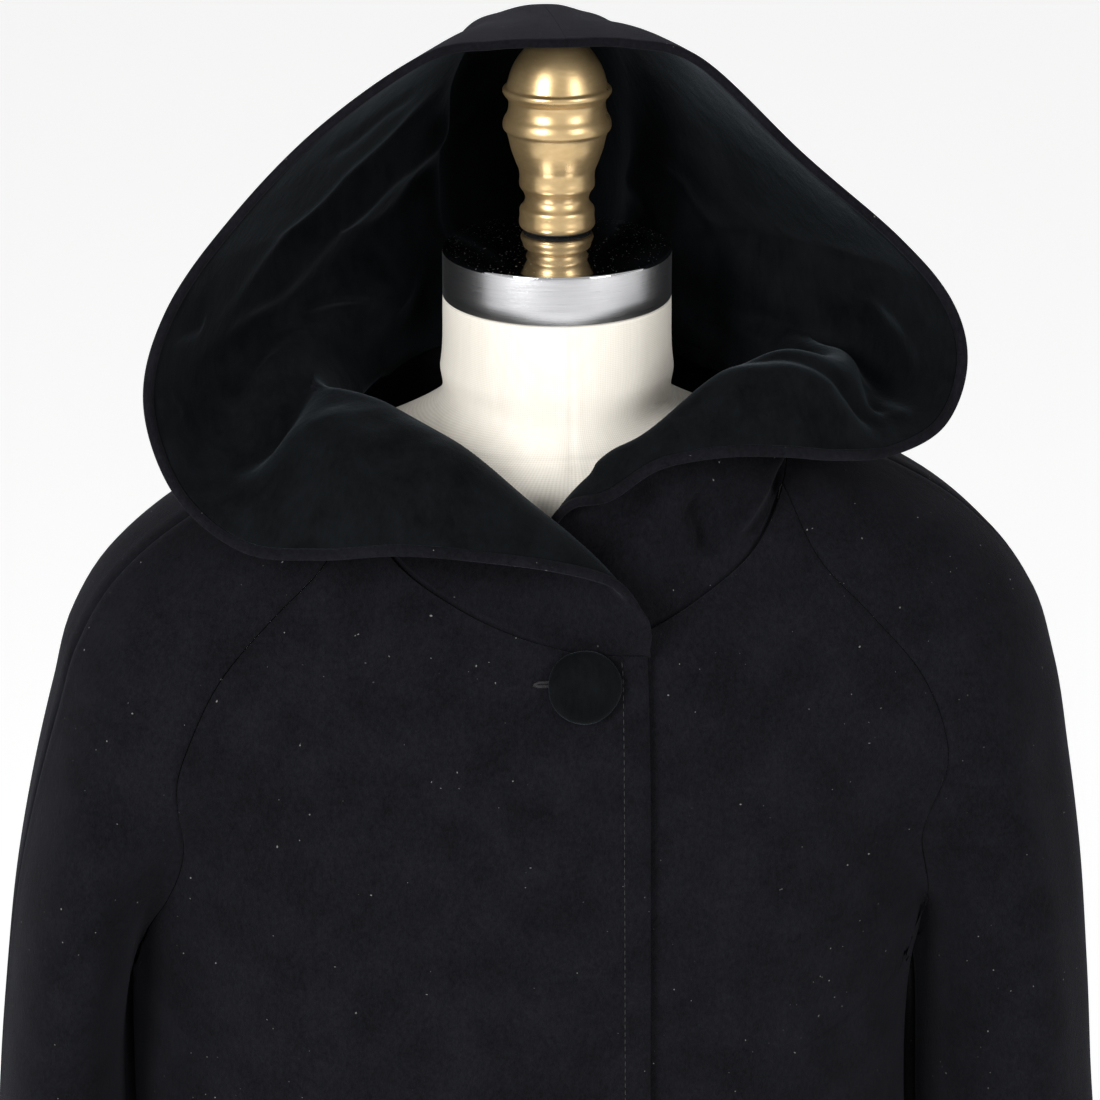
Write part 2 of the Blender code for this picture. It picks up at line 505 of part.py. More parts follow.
# ---------------------------------------------------------------- the hood
def hood_spine(side, neckline):
    """Where the ribs start: the neckline from the front edge to the nape, then the back seam to the crown."""
    layer = -1 if side == "left" else 1
    neckline = lapped(neckline, "body", layer)
    inward = -neckline * (1, 1, 0)
    inward[:, 1] += 0.01
    inward /= np.linalg.norm(inward, axis=1, keepdims=True)
    seated = neckline + inward * (WOOL + 0.0007) + (0, 0, 0.0006)
    seam = np.array([(0, y, z) for y, z in BACK_SEAM])
    lap = 1 - smooth_step(LAP_NEAR, LAP_FAR, np.abs(seated[:, 0]))
    if side == "left":
        seated = seated + inward * 0.0013 * lap[:, None]
    return joined(seated, curve_through(np.vstack([seated[-1], seam])))


def hood_points(side, neckline, u, v):
    """The hood's middle surface. u runs from the front end to the crown, v from the face edge to the spine.

    A rib is a cubic from the edge to the turn and another on to the spine, with one slope at the turn.
    """
    rows = HOOD[side]
    spine = hood_spine(side, neckline)
    lengths = np.r_[0, np.cumsum(np.linalg.norm(np.diff(spine, axis=0), axis=1))]
    starts = np.stack([np.interp([r[0] for r in rows], lengths, spine[:, k]) for k in range(3)], -1)
    place = u * (len(rows) - 1)
    knots = np.arange(len(rows))
    edge = smooth_read(knots, np.array([r[1] for r in rows]), place, flat_end=True)
    turn = smooth_read(knots, np.array([r[2] for r in rows]), place, flat_end=True)
    distance = smooth_read(knots, np.array([r[0] for r in rows]), place)
    start = np.stack([np.interp(distance, lengths, spine[:, k]) for k in range(3)], -1)
    start[place >= knots[-1]] = starts[-1]
    fall_length = np.linalg.norm(turn - edge, axis=-1, keepdims=True)
    stand_length = np.linalg.norm(start - turn, axis=-1, keepdims=True)
    slope = (start - edge) / (fall_length + stand_length)
    slope *= ROLL / np.minimum(np.linalg.norm(slope, axis=-1, keepdims=True), ROLL)     # no sharper than a roll
    fall_slope = 1.5 * (turn - edge) / fall_length - 0.5 * slope
    stand_slope = 1.5 * (start - turn) / stand_length - 0.5 * slope
    past_nape = distance - lengths[len(neckline) - 1]
    level = smooth_step(0, 0.05, past_nape)[..., None]      # square to the back seam
    stand_slope = (1 - level) * stand_slope + level * np.array([1 if side == "right" else -1, 0, 0])
    turn_at = np.clip(fall_length / (fall_length + stand_length), 0.2, 0.6)[..., 0]
    falls = v < turn_at
    t = np.where(falls, v / turn_at, (v - turn_at) / (1 - turn_at))[..., None]
    h00, h10 = 2 * t**3 - 3 * t**2 + 1, t**3 - 2 * t**2 + t
    h01, h11 = 3 * t**2 - 2 * t**3, t**3 - t**2
    fall = h00 * edge + h10 * fall_length * fall_slope + h01 * turn + h11 * fall_length * slope
    stand = h00 * turn + h10 * stand_length * slope + h01 * start + h11 * stand_length * stand_slope
    points = np.where(falls[..., None], fall, stand)
    swell = [smooth_read(knots, np.array([r[k] for r in rows]), place) for k in (3, 4)]
    height = np.where(falls, swell[0], swell[1]) * np.sin(np.pi * t[..., 0])**2
    return points, height, past_nape


def hood_surface(side, neckline, u, v):
    """Points and wool-side normals of the hood's middle surface at grids of u and v."""
    def normal_of(read, step):
        low_u, high_u = np.clip(u - step, 0, 1), np.clip(u + step, 0, 1)
        low_v, high_v = np.clip(v - step, 0, 1), np.clip(v + step, 0, 1)
        n = np.cross(read(high_u, v) - read(low_u, v), read(u, high_v) - read(u, low_v))
        n /= np.maximum(np.linalg.norm(n, axis=-1, keepdims=True), 1e-12)
        return n if side == "right" else -n

    def swollen(u, v):
        base, height, _ = hood_points(side, neckline, u, v)
        step = 4e-3
        low_u, high_u = np.clip(u - step, 0, 1), np.clip(u + step, 0, 1)
        low_v, high_v = np.clip(v - step, 0, 1), np.clip(v + step, 0, 1)
        n = np.cross(hood_points(side, neckline, high_u, v)[0] - hood_points(side, neckline, low_u, v)[0],
                     hood_points(side, neckline, u, high_v)[0] - hood_points(side, neckline, u, low_v)[0])
        n /= np.maximum(np.linalg.norm(n, axis=-1, keepdims=True), 1e-12)
        return base + (n if side == "right" else -n) * height[..., None]

    normal = normal_of(swollen, 2e-3)
    past_nape = hood_points(side, neckline, u, v)[2]
    behind = past_nape > 0
    upright = smooth_step(0.5, 0.98, v) * (1 - smooth_step(0, 0.012, past_nape))    # at the neckline the cloth stands
    normal[..., 2] += upright * np.maximum(-normal[..., 2], 0)
    middle_seam = (u > 0.993) | ((v > 0.98) & behind)       # square to the centre seam
    normal[..., 0] = np.where(middle_seam, 0, normal[..., 0])
    return swollen(u, v), normal / np.linalg.norm(normal, axis=-1, keepdims=True), behind


def hood_grid(side, neckline, strips):
    """u and v of a hood piece: strips in from the face edge in metres, then rows that both layers share."""
    u_line = np.concatenate([np.linspace(0, 0.985, HOOD_COLUMNS - 1), [0.994, 1.0]])
    probe = np.stack([hood_points(side, neckline, u_line, np.full_like(u_line, k))[0] for k in (0.0, 0.04, 0.08)])
    per_metre = 0.08 / np.maximum(np.linalg.norm(np.diff(probe, axis=0), axis=-1).sum(0), 0.004)
    reach = np.minimum(per_metre, SHARED_SHARE / SHARED_FROM)
    even = np.linspace(0, 1, HOOD_ROWS)[:, None]
    first = SHARED_FROM * reach
    v = np.vstack([np.outer(strips, reach), first + even * (0.985 - first), np.ones((1, len(u_line)))])
    return np.broadcast_to(u_line, v.shape).copy(), v


def hood_half(side, neckline, wool, velvet):
    """The wool half of the hood, its edge turned round the velvet, and the velvet that lines it."""
    near = SEAM_GAP / 2 if side == "left" else -SEAM_GAP / 2
    to_wool, to_velvet = HOOD_GAP / 2, -HOOD_GAP / 2
    for name, strips, outside, inside, made in (
            (f"hood_{side}", (0, RIM_WIDTH, RIM_WIDTH + RIM_SLOPE), to_wool + WOOL, to_wool, wool),
            (f"hood_lining_{side}", (RIM_WIDTH + RIM_SLOPE + 0.0008,), to_velvet, to_velvet - VELVET, velvet)):
        u, v = hood_grid(side, neckline, strips)
        middle, normal, behind = hood_surface(side, neckline, u, v)
        depth = np.full(v.shape + (1,), inside)
        if len(strips) > 1:
            depth[:2] = to_velvet - VELVET
        cloth(name, clear_of_middle(middle + normal * outside, u, v, behind, near),
              clear_of_middle(middle + normal * depth, u, v, behind, near), made)


def clear_of_middle(points, u, v, behind, edge_side):
    """Keep the back of each half on its own side of the centre seam."""
    sign = np.sign(edge_side)
    own = points[..., 0] * sign
    on_seam = (u >= 1) | ((v >= 1) & behind)
    own = np.where(on_seam, abs(edge_side), np.where(behind, np.maximum(own, abs(edge_side)), own))
    return np.concatenate([(own * sign)[..., None], points[..., 1:]], -1)


# ---------------------------------------------------------------- scene helpers
def add_object(name, mesh):
    piece = bpy.data.objects.new(name, mesh)
    bpy.data.collections["hooded_coat"].objects.link(piece)
    return piece


def material(name, colour, roughness, metallic=0.0):
    made = bpy.data.materials.new(name)
    made.use_nodes = True
    shader = made.node_tree.nodes["Principled BSDF"]
    shader.inputs["Base Color"].default_value = (*colour, 1)
    shader.inputs["Roughness"].default_value = roughness
    shader.inputs["Metallic"].default_value = metallic
    return made


def finish(piece, made):
    piece.data.materials.append(made)
    piece.data.shade_smooth()
    return piece


def turned(name, profile, made, steps=32):
    """A turned piece: a profile at +X from the top down its outer side, swept round Z."""
    mesh = bpy.data.meshes.new(name)
    mesh.from_pydata([(r, 0, z) for r, z in profile], [(i, i + 1) for i in range(len(profile) - 1)], [])
    piece = add_object(name, mesh)
    screw = piece.modifiers.new("turn", "SCREW")
    screw.steps = screw.render_steps = steps
    screw.use_merge_vertices = True
    screw.merge_threshold = 0.00005
    screw.use_smooth_shade = True
    piece.data.materials.append(made)
    return piece


# ---------------------------------------------------------------- button, form and stand
def button(velvet):
    """A velvet-covered domed button, seated on the top front."""
    ring = np.linspace(0, 2 * np.pi, 12, endpoint=False)
    foot = np.array([(BUTTON_X, -0.12, BUTTON_Z)])
    foot = lapped(straight_onto(foot), "body", 1)[0]
    facing = skin_normal(foot[None], "body")[0]
    around = np.array([(foot[0] + BUTTON_RADIUS * np.cos(a), -0.12, foot[2] + BUTTON_RADIUS * np.sin(a)) for a in ring])
    around = lapped(straight_onto(around), "body", 1)
    rise = max(0.0, float(((around - foot) @ facing).max()))
    profile = [(0, 1.0), (0.30, 0.965), (0.56, 0.86), (0.78, 0.66), (0.93, 0.40), (1.0, 0.20), (0.985, 0.06),
               (0.93, 0.0), (0, 0.0)]
    piece = turned("button", [(r * BUTTON_RADIUS, h * BUTTON_HEIGHT) for r, h in profile], velvet, steps=20)
    piece.rotation_mode = "QUATERNION"
    from_up = np.cross((0, 0, 1), facing)
    lean = np.arccos(facing[2])
    axis = from_up / np.linalg.norm(from_up)
    piece.rotation_quaternion = (np.cos(lean / 2), *(axis * np.sin(lean / 2)))
    piece.location = foot + facing * (rise + TOUCH)


def straight_onto(points):
    """Move points along Y onto the front of the skin."""
    for _ in range(14):
        slope = skin_slope(points, "body")[:, 1]
        points = points - np.stack([0 * slope, skin_distance(points, "body") / slope, 0 * slope], -1)
    return points


def dress_form(linen, steel, gold, black, painted):
    """Torso and neck in one, the metal cap, the finial, and the stand below."""
    work = bmesh.new()
    rings = 19
    bmesh.ops.create_uvsphere(work, u_segments=32, v_segments=rings + 1, radius=1)
    heights = sorted({round(v.co.z, 5) for v in work.verts})
    levels = np.concatenate([[TORSO_BOTTOM, TORSO_BOTTOM], np.linspace(0.812, 1.30, 8),
                             np.linspace(1.335, 1.41, 6), (1.425, 1.450, NECK_TOP - 0.0005, NECK_TOP, NECK_TOP)])
    for vertex in work.verts:
        level = levels[heights.index(round(vertex.co.z, 5))]
        turn = np.arctan2(vertex.co.y, vertex.co.x)
        centred = abs(vertex.co.z) > 0.9999
        width = column(TORSO, "half_width", level)
        front, back = column(TORSO, "front", level), column(TORSO, "back", level)
        square = 2 + 0.3 * smooth_step(1.42, 1.34, level)
        shape = (abs(np.cos(turn))**square + abs(np.sin(turn))**square)**(-1 / square)
        reach = 0 if centred else shape
        vertex.co = (width * reach * np.cos(turn), (front + back) / 2 + (back - front) / 2 * reach * np.sin(turn), level)
    mesh = bpy.data.meshes.new("form_body")
    work.to_mesh(mesh)
    work.free()
    finish(add_object("form_body", mesh), linen)

    dome = [(0, CAP_RIM + CAP_DOME)]
    for part in np.linspace(0.25, 1, 4):
        radius = part * (CAP_RADIUS - 0.0015)
        dome.append((radius, CAP_RIM + CAP_DOME * (1 - part**2)))
    cap = dome + [(CAP_RADIUS, CAP_RIM - 0.0013), (CAP_RADIUS, CAP_BOTTOM + 0.0006),
                  (CAP_RADIUS - 0.0006, CAP_BOTTOM), (0, CAP_BOTTOM)]
    turned("neck_cap", cap, steel, steps=32)
    seat = CAP_RIM + CAP_DOME + TOUCH
    turned("finial_washer", [(0, seat + WASHER - TOUCH), (0.0166, seat + WASHER - TOUCH), (0.0170, seat),
                             (0, seat)], black, steps=16)
    turned("finial", FINIAL, gold, steps=20)
    collar_top = TORSO_BOTTOM - TOUCH
    pole = [(0, collar_top), (0.040, collar_top), (0.042, collar_top - 0.003), (0.042, collar_top - 0.012),
            (0.030, collar_top - 0.020), (0.022, collar_top - 0.050), (POLE_RADIUS, collar_top - 0.056),
            (POLE_RADIUS, BASE_HEIGHT + 0.040), (0.030, BASE_HEIGHT + 0.034), (0.045, BASE_HEIGHT + 0.008),
            (0.045, BASE_HEIGHT + TOUCH), (0, BASE_HEIGHT + TOUCH)]
    turned("stand_pole", pole, painted, steps=16)
    base = [(0, BASE_HEIGHT), (0.060, BASE_HEIGHT), (0.150, 0.024), (0.205, 0.016), (BASE_RADIUS - 0.002, 0.012),
            (BASE_RADIUS, 0.008), (BASE_RADIUS, 0.003), (BASE_RADIUS - 0.003, 0.0), (0, 0.0)]
    turned("stand_base", base, painted, steps=32)


def main():
    for old in list(bpy.data.objects):
        bpy.data.objects.remove(old)
    group = bpy.data.collections.new("hooded_coat")
    bpy.context.scene.collection.children.link(group)
    wool = material("black_wool", (0.010, 0.010, 0.013), 0.85)
    velvet = material("black_velvet", (0.006, 0.009, 0.010), 0.75)
    linen = material("cream_linen", (0.80, 0.76, 0.68), 0.85)
    steel = material("brushed_steel", (0.62, 0.62, 0.64), 0.30, 1.0)
    gold = material("gold_lacquer", (0.62, 0.47, 0.26), 0.35, 0.6)
    black = material("black_rubber", (0.01, 0.01, 0.01), 0.6)
    painted = material("painted_iron", (0.03, 0.03, 0.035), 0.45, 0.3)
    for side in ("right", "left"):
        seams = coat_half(side, wool)
        hood_half(side, seams["neckline"], wool, velvet)
    button(velvet)
    dress_form(linen, steel, gold, black, painted)


main()
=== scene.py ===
import bpy
import mathutils
import numpy as np
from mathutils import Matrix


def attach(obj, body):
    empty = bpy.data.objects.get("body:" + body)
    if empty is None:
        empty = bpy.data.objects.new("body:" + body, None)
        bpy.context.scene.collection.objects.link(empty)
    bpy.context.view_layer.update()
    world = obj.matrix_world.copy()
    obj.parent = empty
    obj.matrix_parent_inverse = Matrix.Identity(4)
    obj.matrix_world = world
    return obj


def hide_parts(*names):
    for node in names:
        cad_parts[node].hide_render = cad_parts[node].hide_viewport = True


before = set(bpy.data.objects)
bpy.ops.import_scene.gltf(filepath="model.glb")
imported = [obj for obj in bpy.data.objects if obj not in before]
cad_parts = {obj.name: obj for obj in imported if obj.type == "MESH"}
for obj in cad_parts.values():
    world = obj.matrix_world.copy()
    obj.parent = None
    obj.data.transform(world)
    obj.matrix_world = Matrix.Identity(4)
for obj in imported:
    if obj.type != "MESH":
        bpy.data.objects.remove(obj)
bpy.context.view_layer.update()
print("frame loaded:", len(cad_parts), "nodes")

# Metres, +Z up, the front faces -Y, the wearer's right is at -X.
sideSign = {"left": 1, "right": -1}


def table(names, rows):     # rows sorted by their first number, as one array for each named column
    return dict(zip(names.split(), np.array(sorted(rows), float).T))


def smoothRead(knots, values, at, flatEnd=False):      # cubic through the values, slopes from the neighbours
    knots, values = np.asarray(knots, float), np.asarray(values, float)
    slopes = np.gradient(values, knots, axis=0)
    if flatEnd:
        slopes[-1, 1:] = 0      # the curve meets its mirror image without a corner
    at = np.clip(at, knots[0], knots[-1])
    low = np.clip(np.searchsorted(knots, at, side="right") - 1, 0, len(knots) - 2)
    span = knots[low + 1] - knots[low]
    t = (at - knots[low]) / span
    if values.ndim > 1:
        t, span = t[..., None], span[..., None]
    return ((2 * t**3 - 3 * t**2 + 1) * values[low] + (t**3 - 2 * t**2 + t) * span * slopes[low]
            + (3 * t**2 - 2 * t**3) * values[low + 1] + (t**3 - t**2) * span * slopes[low + 1])


def column(source, name, at):       # one column of a table, read smoothly against its first one
    return smoothRead(source[next(iter(source))], source[name], at)


def lengthsOf(curve):       # the distance walked along a curve to each of its points
    return np.r_[0, np.cumsum(np.linalg.norm(np.diff(curve, axis=0), axis=1))]


def curveThrough(points, perSpan=10):       # a smooth curve through the points, in even steps between them
    points = np.asarray(points, float)
    steps = lengthsOf(points)
    spans = [np.linspace(a, b, perSpan, endpoint=False) for a, b in zip(steps, steps[1:])]
    return smoothRead(steps, points, np.r_[np.concatenate(spans), steps[-1]])


def along(curve, share):        # the points at these shares of a curve's length
    steps = lengthsOf(curve)
    return np.stack([np.interp(share * steps[-1], steps, curve[:, k]) for k in range(3)], -1)


def smoothStep(low, high, at):      # 0 up to low, 1 from high on, and t * t * (3 - 2 * t) between them
    t = np.clip((at - low) / (high - low), 0, 1)
    return t * t * (3 - 2 * t)


def unit(v):        # each vector divided by its length
    return v / np.maximum(np.linalg.norm(v, axis=-1, keepdims=True), 1e-12)


# the coat's skin, as in the CAD model
coat = dict(wool=0.0024, velvet=0.0012, seamGap=0.0004, lap=0.0026, lapNear=0.045, lapFar=0.100,
            frontEdge=0.031, hem=0.400, cuff=0.760, armpit=1.112, besideSeam=0.47, lean=0.34,
            leanFrom=1.125, leanFull=1.030, leanSoftness=0.012, bodySquareness=2.3, sleeveSquareness=2.2,
            partAbove=0.010, partSlope=6)

bodyRings = table("height left right front back", [
    (1.460, 0.045, 0.045, 0.000, 0.056), (1.437, 0.074, 0.074, -0.028, 0.078),
    (1.410, 0.102, 0.102, -0.064, 0.090), (1.385, 0.122, 0.122, -0.082, 0.099),
    (1.360, 0.140, 0.140, -0.096, 0.106), (1.330, 0.156, 0.158, -0.108, 0.111),
    (1.280, 0.192, 0.196, -0.121, 0.115), (1.200, 0.203, 0.221, -0.129, 0.119),
    (1.100, 0.188, 0.226, -0.136, 0.127), (1.000, 0.190, 0.228, -0.145, 0.140),
    (0.800, 0.222, 0.240, -0.172, 0.170), (0.600, 0.275, 0.278, -0.208, 0.206),
    (0.400, 0.322, 0.322, -0.244, 0.242)])
sleeveRings = {
    "left": table("height inner outer y halfDepth", [
        (1.430, 0.010, 0.070, 0.012, 0.030), (1.412, 0.020, 0.112, 0.006, 0.042),
        (1.390, 0.040, 0.160, 0.000, 0.055), (1.370, 0.059, 0.195, -0.002, 0.063),
        (1.345, 0.080, 0.224, -0.004, 0.070), (1.315, 0.099, 0.246, -0.006, 0.078),
        (1.280, 0.114, 0.258, -0.008, 0.084), (1.230, 0.152, 0.267, -0.010, 0.086),
        (1.180, 0.176, 0.2745, -0.012, 0.085), (1.112, 0.1905, 0.2815, -0.014, 0.086),
        (1.000, 0.197, 0.2915, -0.018, 0.082), (0.880, 0.213, 0.308, -0.022, 0.079),
        (0.760, 0.240, 0.324, -0.026, 0.076)]),
    "right": table("height inner outer y halfDepth", [
        (1.430, 0.010, 0.070, 0.012, 0.030), (1.412, 0.020, 0.112, 0.006, 0.042),
        (1.390, 0.044, 0.164, 0.000, 0.055), (1.370, 0.062, 0.199, -0.002, 0.063),
        (1.345, 0.083, 0.229, -0.004, 0.070), (1.315, 0.105, 0.2485, -0.006, 0.077),
        (1.280, 0.131, 0.2590, -0.008, 0.082), (1.230, 0.184, 0.2720, -0.010, 0.085),
        (1.180, 0.211, 0.2825, -0.012, 0.083), (1.112, 0.2285, 0.292, -0.014, 0.080),
        (1.000, 0.234, 0.303, -0.018, 0.077), (0.880, 0.241, 0.315, -0.022, 0.075),
        (0.760, 0.254, 0.328, -0.026, 0.074)])}
meltRadii = table("height radius", [
    (1.430, 0.050), (1.300, 0.060), (1.240, 0.046), (1.190, 0.030), (1.160, 0.012), (1.130, 0.004),
    (0.400, 0.003)])
flutes = table("angle spread depth start", [
    (-163, 16, 0.026, 1.02), (-122, 15, 0.022, 0.96), (-82, 15, 0.016, 0.78), (-38, 15, 0.026, 0.97),
    (35, 15, 0.027, 0.99), (80, 15, 0.016, 0.78), (121, 15, 0.023, 0.96), (161, 16, 0.027, 1.02)])
necklinePoints = [(-0.033, -0.110, 1.323), (0.000, -0.110, 1.326), (0.031, -0.107, 1.335),
                  (0.060, -0.099, 1.348), (0.088, -0.086, 1.367), (0.104, -0.060, 1.390),
                  (0.108, -0.018, 1.407), (0.096, 0.032, 1.422), (0.060, 0.063, 1.432),
                  (0.000, 0.078, 1.437)]
frontRaglan = {
    "left": [(0.122, -0.085, 1.361), (0.148, -0.092, 1.332), (0.172, -0.094, 1.300), (0.186, -0.093, 1.258)],
    "right": [(0.128, -0.085, 1.366), (0.150, -0.092, 1.346), (0.176, -0.096, 1.316), (0.196, -0.094, 1.270)]}
backRaglan = [(0.118, 0.076, 1.376), (0.146, 0.092, 1.330), (0.170, 0.094, 1.280), (0.184, 0.086, 1.235)]
overArm = {
    "left": [(0.165, -0.012, 1.388), (0.214, -0.012, 1.356), (0.245, -0.012, 1.312), (0.262, -0.012, 1.240),
             (0.277, -0.014, 1.160), (0.292, -0.018, 1.000)],
    "right": [(0.168, -0.024, 1.388), (0.214, -0.028, 1.352), (0.243, -0.034, 1.300), (0.262, -0.036, 1.240),
              (0.279, -0.034, 1.185), (0.300, -0.030, 1.000)]}


# where the sleeves' seams start, in points of the neckline's curve, and a first guess at each armpit's valley
seamStarts = dict(front=50, arm=60, back=70)
valleyGuess = dict(heights=(1.205, 1.165, 1.130), depths=(0.075, 0.062, 0.035), widthShare=0.92)
edgePoints = 60


# distance from the oval |x / halfWidth|^n + |y / halfDepth|^n = 1, along the ray from its middle
def ringDistance(x, y, halfWidth, halfDepth, squareness):
    reach = ((np.abs(x) / halfWidth)**squareness + (np.abs(y) / halfDepth)**squareness)**(1 / squareness)
    return np.hypot(x, y) * (1 - 1 / np.maximum(reach, 1e-6))


def fluteHeight(x, y, z):       # for each flute depth * e^-(turn / spread)^2, growing down to the hem
    angle = np.degrees(np.arctan2(x, -y))[..., None]
    turn = (angle - flutes["angle"] + 180) % 360 - 180
    grown = smoothStep(0, 1, (flutes["start"] - z[..., None]) / (flutes["start"] - coat["hem"]))
    return (flutes["depth"] * grown * np.exp(-(turn / flutes["spread"])**2)).sum(-1)


def bodyDistance(p):        # distance from the body's ring at this height, less the flutes
    x, y, z = p[..., 0], p[..., 1], p[..., 2]
    front, back = column(bodyRings, "front", z), column(bodyRings, "back", z)
    halfWidth = np.where(x > 0, column(bodyRings, "left", z), column(bodyRings, "right", z))
    y = y - (front + back) / 2
    return ringDistance(x, y, halfWidth, (back - front) / 2, coat["bodySquareness"]) - fluteHeight(x, y, z)


def sleeveMiddle(side, z):      # the middle and the half sizes of a sleeve's ring at this height
    rings = sleeveRings[side]
    inner, outer = column(rings, "inner", z), column(rings, "outer", z)
    middle = sideSign[side] * (inner + outer) / 2
    return middle, column(rings, "y", z), (outer - inner) / 2, column(rings, "halfDepth", z)


def sleeveDistance(p, side):        # a sleeve's rings, whose back part leans in behind the body
    x, y, halfWidth, halfDepth = sleeveMiddle(side, p[..., 2])
    behind = np.maximum(p[..., 1] - y, 0)
    leaning = coat["lean"] * smoothStep(coat["leanFrom"], coat["leanFull"], p[..., 2])
    x = x - sideSign[side] * leaning * behind**2 / (behind + coat["leanSoftness"])
    return ringDistance(p[..., 0] - x, p[..., 1] - y, halfWidth, halfDepth, coat["sleeveSquareness"])


# Body and sleeves melt together above the armpit and part below it: the smaller of the two distances,
# less near^2 / (4 * radius), where near is how far they are within the radius of each other.
def skinDistance(p, own):
    body = bodyDistance(p)
    sleeves = np.minimum(sleeveDistance(p, "left"), sleeveDistance(p, "right"))
    part = np.maximum(0, coat["armpit"] + coat["partAbove"] - p[..., 2]) * coat["partSlope"]
    first, second = (body, sleeves + part) if own == "body" else (sleeves, body + part)
    radius = column(meltRadii, "radius", p[..., 2])
    near = np.maximum(radius - np.abs(first - second), 0)
    return np.minimum(first, second) - near**2 / radius / 4


def skinSlope(p, own, step=1e-4):       # how fast the distance grows along each axis
    ahead, behind = ([skinDistance(p + way * a, own) for a in np.eye(3) * step] for way in (1, -1))
    return (np.stack(ahead, -1) - np.stack(behind, -1)) / (2 * step)


def ontoSkin(p, own, turns=14, level=False):        # pulled along the slope, or along it at one height
    for _ in range(turns):
        slope = skinSlope(p, own) * ((1, 1, 0) if level else (1, 1, 1))
        p = p - (skinDistance(p, own) / np.maximum((slope**2).sum(-1), 1e-6))[..., None] * slope
    return p


def skinNormal(p, own):     # the direction straight out of the skin
    return unit(skinSlope(p, own))


def lapped(p, own, layer):      # moved out (1) or in (-1) by the lap at the centre front, fading to the sides
    fade = 1 - smoothStep(coat["lapNear"], coat["lapFar"], np.abs(p[..., 0]))
    return p + skinNormal(p, own) * (layer * coat["lap"] * fade)[..., None] if layer else p


def mirrored(points, side):     # points of the left side, or their mirror image for the right
    return np.asarray(points, float) * (sideSign[side], 1, 1)


def valley(side, way):      # where the body's and the sleeve's rings cross, in front (-1) or behind (1)
    heights = np.array(valleyGuess["heights"])
    width = column(bodyRings, side, heights) * valleyGuess["widthShare"]
    points = np.stack([sideSign[side] * width, way * np.array(valleyGuess["depths"]), heights], -1)
    for _ in range(30):
        values = np.stack([bodyDistance(points), sleeveDistance(points, side)], -1)
        slopes = np.stack([np.stack([bodyDistance(points + a), sleeveDistance(points + a, side)], -1) - values
                           for a in np.eye(3)[:2] * 1e-5], -1) / 1e-5
        points[:, :2] -= np.clip(np.linalg.solve(slopes, values[..., None])[..., 0], -0.01, 0.01)
    return points


def coatSeams(side):        # each seam of one side, as a curve laid on the skin
    out, armpit, rings = sideSign[side], coat["armpit"], sleeveRings[side]
    front, arm, back = (seamStarts[k] for k in ("front", "arm", "back"))
    neckline = ontoSkin(curveThrough(mirrored(necklinePoints, side)), "body")
    y = column(rings, "y", armpit)
    ownBody = ontoSkin(np.array([(out * column(bodyRings, side, armpit), y, armpit)]), "body", level=True)[0]
    ownSleeve = ontoSkin(np.array([(out * column(rings, "inner", armpit), y, armpit)]), side, level=True)[0]
    sideHeights = np.linspace(armpit, coat["hem"], 12)[1:]
    sideX = column(bodyRings, side, sideHeights)
    sideSeam = np.vstack([ownBody] + [(out * x, -0.002, z) for x, z in zip(sideX, sideHeights)])
    armHeights = np.linspace(armpit, coat["cuff"], 8)[1:]
    inner = [(out * column(rings, "inner", z), column(rings, "y", z), z) for z in armHeights]
    cuffEnd = (out * column(rings, "outer", coat["cuff"]), overArm[side][-1][1], coat["cuff"])
    overArmPoints = np.vstack([neckline[arm], mirrored(overArm[side], side), cuffEnd])
    frontPoints = np.vstack([neckline[front], mirrored(frontRaglan[side], side), valley(side, -1), ownBody])
    backPoints = np.vstack([neckline[back], mirrored(backRaglan, side), valley(side, 1), ownBody])
    return {"neckFront": neckline[:front + 1], "neckShoulderFront": neckline[front:arm + 1],
            "neckShoulderBack": neckline[arm:back + 1], "neckBack": neckline[back:], "neckline": neckline,
            "frontRaglan": curveThrough(frontPoints), "backRaglan": curveThrough(backPoints),
            "sideSeam": ontoSkin(curveThrough(sideSeam), "body", level=True),
            "underarmSeam": ontoSkin(curveThrough(np.vstack([ownSleeve, inner])), side, level=True),
            "overArm": ontoSkin(curveThrough(overArmPoints), side)}


def straightEdge(x, top):       # an edge straight down at one x, from its top point to the hem
    heights = np.linspace(top[2], coat["hem"], edgePoints)
    depth = column(bodyRings, "front" if top[1] < 0 else "back", heights)
    return ontoSkin(np.stack([np.full(edgePoints, x), depth, heights], -1), "body", level=True)


def hemCurve(start, end):       # the hem between two edges, in even turns round the stand's axis
    turnA, turnB = np.arctan2(start[0], -start[1]), np.arctan2(end[0], -end[1])
    turn = np.linspace(turnA, turnA + (turnB - turnA + np.pi) % (2 * np.pi) - np.pi, edgePoints)
    reach = np.linspace(np.hypot(*start[:2]), np.hypot(*end[:2]), edgePoints)
    points = np.stack([reach * np.sin(turn), -reach * np.cos(turn), np.full(edgePoints, coat["hem"])], -1)
    return ontoSkin(points, "body", level=True)


def halfCuff(start, end, side, way):        # half of the cuff's ring, from the outer seam to the inner one
    out, cuff = sideSign[side], coat["cuff"]
    x, y, width, depth = sleeveMiddle(side, cuff)
    startTurn = np.arctan2(way * (start[1] - y) / depth, out * (start[0] - x) / width)
    turn = np.linspace(startTurn, np.pi, edgePoints)
    x, y = x + out * width * np.cos(turn), y + way * depth * np.sin(turn)
    points = np.stack([x, y, np.full(edgePoints, cuff)], -1)
    points[-1] = end
    return ontoSkin(points, side, level=True)


def faceGrid(rows, columns):        # the quads between the rows and columns of a grid
    index = np.arange(rows * columns).reshape(rows, columns)
    return np.stack([index[:-1, :-1], index[:-1, 1:], index[1:, 1:], index[1:, :-1]], -1).reshape(-1, 4)


